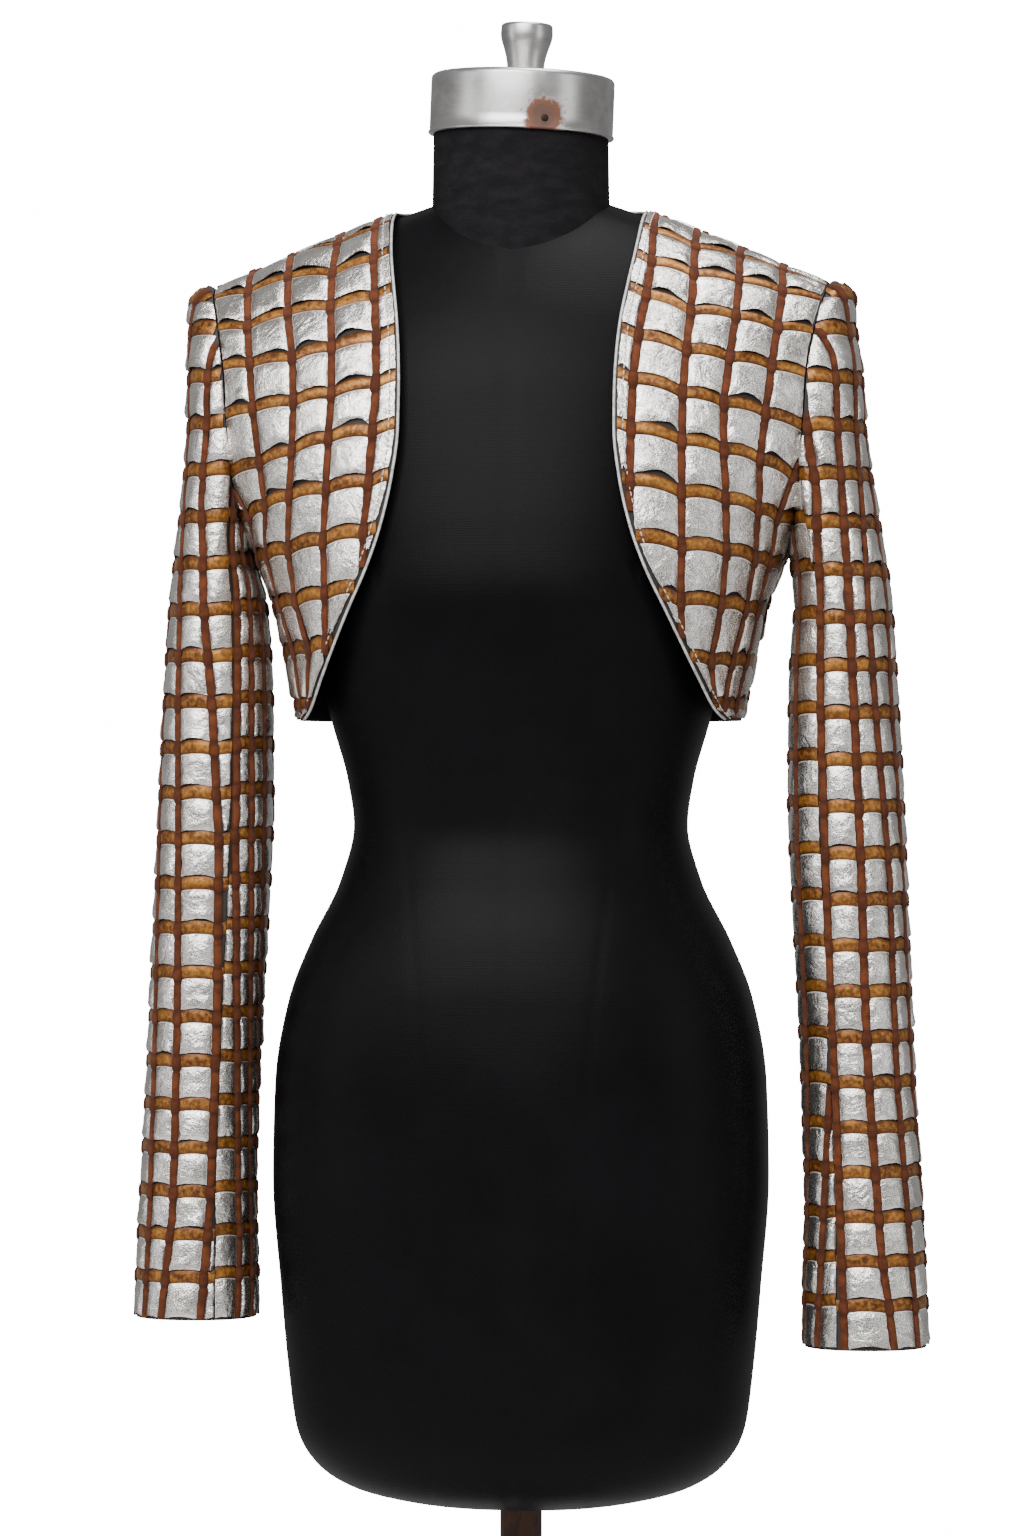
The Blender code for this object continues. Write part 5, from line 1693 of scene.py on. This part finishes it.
@dataclass
class Jacket:
    """The bolero: fronts, back, sleeves, lining, piping and stitching.

    Attributes:
        pitch: Distance between two suede strips on the back.
        hidden_pitch: Distance between two on the sleeves' backs.
        sleeves: The two sleeves.
        finishes: Silver leather, satin, suede, backing and lining.
    """

    pitch: float = 0.0275
    hidden_pitch: float = 0.024
    sleeves: tuple[SleeveCut, ...] = (SleeveCut(1, "left", 1.3674, 0.0309, 0.7255),
                                      SleeveCut(-1, "right", 1.3699, 0.0303, 0.7410))
    finishes: tuple[Finish, ...] = ()

    def dress(self) -> None:
        """Build every piece of the jacket on the form.
        """
        lining = Backing("lining", (0.020, 0.020, 0.022), (0.006, 0.006, 0.007), 0.42).make()
        # The default backing is near-black: painted shade in the gaps of the weave.
        self.finishes = (SilverLeather().make(), Satin().make(), Suede().make(),
                         Backing().make(), lining)
        fronts = {side: BodyChart(FRONT_ROWS, -1, side) for side in (-1, 1)}
        back = BackChart()
        for side, name in ((1, "left"), (-1, "right")):
            table = FRONT_STRIPS[side]
            weave = Weave(f"front_{name}", fronts[side], table[:, 1:6].T, np.arange(1.0, 12.0),
                          satin=0.0040, arch=0.0030, gap=0.0030, seed=11 + side,
                          knots=tuple(table[:, 0]), bend=table[:, 6:].T, hem=0.010,
                          margin=0.0012)
            self._cover(weave)
        strips = (self.pitch * (np.arange(-8, 8) + 0.5))[:, None]
        self._cover(Weave("jacket_back", back, strips, np.arange(1.0, 13.0), seed=21))
        for sleeve in self.sleeves:
            self._sleeve(sleeve)
        self._lining(back, lining)
        seams = Seams()
        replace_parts(seams.piping(fronts, back, Piping().make()), "edge_piping")
        seams.topstitch(fronts, back, Thread().make())

    def _sleeve(self, cut: SleeveCut) -> None:
        """Upper and under piece of a sleeve, with more strips at an even pitch behind."""
        chart = SleeveChart(cut.side, SleevePart.UPPER, cut.first_row, cut.pitch, cut.cuff)
        table = SLEEVE_STRIPS[cut.side]
        behind = table[:, 1] - self.hidden_pitch * np.arange(4, 0, -1)[:, None]
        weave = Weave(f"upper_sleeve_{cut.name}", chart, np.vstack((behind, table[:, 1:].T)),
                      np.r_[chart.first + 0.30, np.arange(1.0, 23.0)], satin=0.0045,
                      seed=31 + cut.side, knots=tuple(table[:, 0]), margin=0.0003)
        self._cover(weave)
        chart = SleeveChart(cut.side, SleevePart.UNDER, cut.first_row, cut.pitch, cut.cuff)
        table = UNDER_STRIPS[cut.side]
        behind = table[:, -1] + self.hidden_pitch * np.arange(1, 4)[:, None]
        weave = Weave(f"under_sleeve_{cut.name}", chart, np.vstack((table[:, 1:].T, behind)),
                      np.arange(1.0, 23.0) - 0.1, flap=0.0012, gap=0.0, seed=41 + cut.side,
                      cell_grid=(8, 6), knots=tuple(table[:, 0]), margin=0.0001)
        self._cover(weave)

    def _cover(self, weave: Weave) -> None:
        silver, satin, suede, backing, lining = self.finishes
        cloth = weave.cloth(backing, lining)
        pieces = [weave.cells(silver), weave.satin_rows(satin), weave.suede_strips(suede)]
        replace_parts(cloth, weave.name)
        chart = weave.chart
        v = np.linspace(chart.first, chart.last, 80)
        halves = 2 if isinstance(chart, BackChart) else 1
        width = float((chart.end(v) - chart.start(v)).max()) * halves

    def _lining(self, back: BackChart, lining: Finish) -> None:
        """Thin lining hung inside the back, hemmed at its foot."""
        mesh = Mesh()
        top, thick, short = WALL + 0.0012, 0.0004, 0.004
        down = np.linspace(0.0, back.last, 90)
        for half in (1, -1):
            share = np.linspace(0.0, 1.0, 41)[None, :]
            v = np.repeat(down[:, None], share.size, axis=1)
            u = (back.start(v) + (back.end(v) - short - back.start(v)) * share) * half
            waver = lattice_noise(u * 0.6, v * 0.35, 5.0) * 0.0004 * ease((v - 1.0) / 3)
            mesh.wall(back, (u, v), (waver - top, waver - top - thick),
                      np.stack((u, v * back.pitch), axis=-1))
        piece = mesh.build("back_lining_cloth", lining, slot="lining")
        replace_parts(piece, "back_lining")
        flat = (round(2 * float(back.end(9.0)), 3), round(back.last * back.pitch * 1.02, 3))


@dataclass
class Studio:
    """Pale floor and backdrop, soft lights and the camera at the photograph's angle.

    Attributes:
        azimuth: Turn of the camera to the wearer's left, in degrees.
        distance: From the camera to the point it aims at.
        aim: That point's place to the camera's right, and its height.
        frame_height: Height of the picture at that point.
        floor_radius: Radius of the floor.
        backdrop, ambient: Strength of the white around, as seen and as light.
    """

    azimuth: float = 5.5
    distance: float = 3.8
    aim: tuple[float, float] = (-0.0058, 1.092)
    frame_height: float = 0.9830
    floor_radius: float = 2.4
    backdrop: float = 16.0
    ambient: float = 0.30

    def _directions(self) -> tuple[Array, Array]:
        """The camera's right and the way back to it."""
        turn = math.radians(self.azimuth)
        return (np.array((math.cos(turn), math.sin(turn), 0.0)),
                np.array((math.sin(turn), -math.cos(turn), 0.0)))

    def camera(self) -> None:
        """Level camera whose long side is upright."""
        right, back = self._directions()
        target = right * self.aim[0] + np.array((0.0, 0.0, self.aim[1]))
        data = bpy.data.cameras.new("camera")
        data.sensor_fit = "VERTICAL"
        data.sensor_height = 36.0
        data.lens = 36.0 * self.distance / self.frame_height
        camera = bpy.data.objects.new("camera", data)
        bpy.context.scene.collection.objects.link(camera)
        camera.location = target + back * self.distance
        camera.rotation_euler = (math.pi / 2, 0.0, math.radians(self.azimuth))
        bpy.context.scene.camera = camera

    def floor(self) -> None:
        """Pale round floor, whose edge stays below the frame in the photograph's view."""
        radius = np.linspace(0.05, self.floor_radius, 14)[:, None]
        turn = np.linspace(0.0, 2 * math.pi, 96, endpoint=False)[None, :]
        points = np.stack((radius * np.cos(turn), radius * np.sin(turn), 0 * radius * turn),
                          axis=-1).reshape(-1, 3)
        faces = np.concatenate((quads(14, 96, round_it=True), fan(96)[:, ::-1]))
        faces = outwards(points, faces, np.tile((0.0, 0.0, 1.0), (len(points), 1)))
        data = bpy.data.meshes.new("floor")
        data.from_pydata(points.tolist(), [], faces.tolist())
        data.materials.append(floor_finish())
        floor = bpy.data.objects.new("floor", data)
        bpy.context.scene.collection.objects.link(floor)

    def light(self, name: str, place: Sequence[float], aim: Sequence[float], size: float,
              tall: float, power: float) -> None:
        """Rectangular soft light at a place, turned towards a point."""
        data = bpy.data.lights.new(name, "AREA")
        data.shape, data.size, data.size_y = "RECTANGLE", size, tall
        data.energy = power
        lamp = bpy.data.objects.new(name, data)
        bpy.context.scene.collection.objects.link(lamp)
        lamp.location = place
        way = np.array(aim) - np.array(place)
        flat = math.hypot(way[0], way[1])
        lamp.rotation_euler = (math.atan2(flat, -way[2]), 0.0, math.atan2(way[1], way[0])
                               - math.pi / 2)

    def build(self) -> None:
        """Set up the whole studio."""
        world = bpy.data.worlds.new("studio")
        world.use_nodes = True
        nodes, links = world.node_tree.nodes, world.node_tree.links
        path, seen = nodes.new("ShaderNodeLightPath"), nodes.new("ShaderNodeMapRange")
        seen.inputs["To Min"].default_value = self.ambient
        seen.inputs["To Max"].default_value = self.backdrop
        links.new(path.outputs["Is Camera Ray"], seen.inputs["Value"])
        links.new(seen.outputs[0], nodes["Background"].inputs["Strength"])
        nodes["Background"].inputs["Color"].default_value = (1.0, 1.0, 1.0, 1.0)
        bpy.context.scene.world = world
        self.camera()
        self.floor()
        self.light("key", (-0.5, -2.3, 2.7), (0.0, 0.0, 1.3), 2.4, 1.2, 120.0)
        self.light("left_strip", (-2.6, -1.2, 1.6), (0.0, 0.0, 1.15), 0.6, 2.0, 13.0)
        self.light("right_strip", (2.6, -1.3, 1.6), (0.0, 0.0, 1.15), 0.6, 2.0, 14.0)
        self.light("top", (0.3, -0.2, 3.3), (0.0, 0.0, 1.2), 1.2, 0.8, 40.0)


def main() -> None:
    """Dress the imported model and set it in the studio."""
    logging.basicConfig(level=logging.INFO, format="%(name)s %(message)s")
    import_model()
    form = DressForm()
    torso = form.torso(Jersey().make())
    form.neck(NeckCloth().make())
    dark = DarkMetal("dark_screw", (0.020, 0.014, 0.012), (0.085, 0.040, 0.022), 0.5, 0.8).make()
    form.cap(Steel("cap_steel", True).make(), dark)
    form.knob(Steel("knob_steel", False).make())
    form.stand(DarkMetal("pole_finish", (0.030, 0.017, 0.013), (0.10, 0.036, 0.018), 0.45,
                         0.6).make(),
               DarkMetal("base_finish", (0.020, 0.020, 0.021), (0.060, 0.056, 0.053), 0.42,
                         0.7).make())
    Jacket().dress()
    Studio().build()


if __name__ == "__main__":
    main()
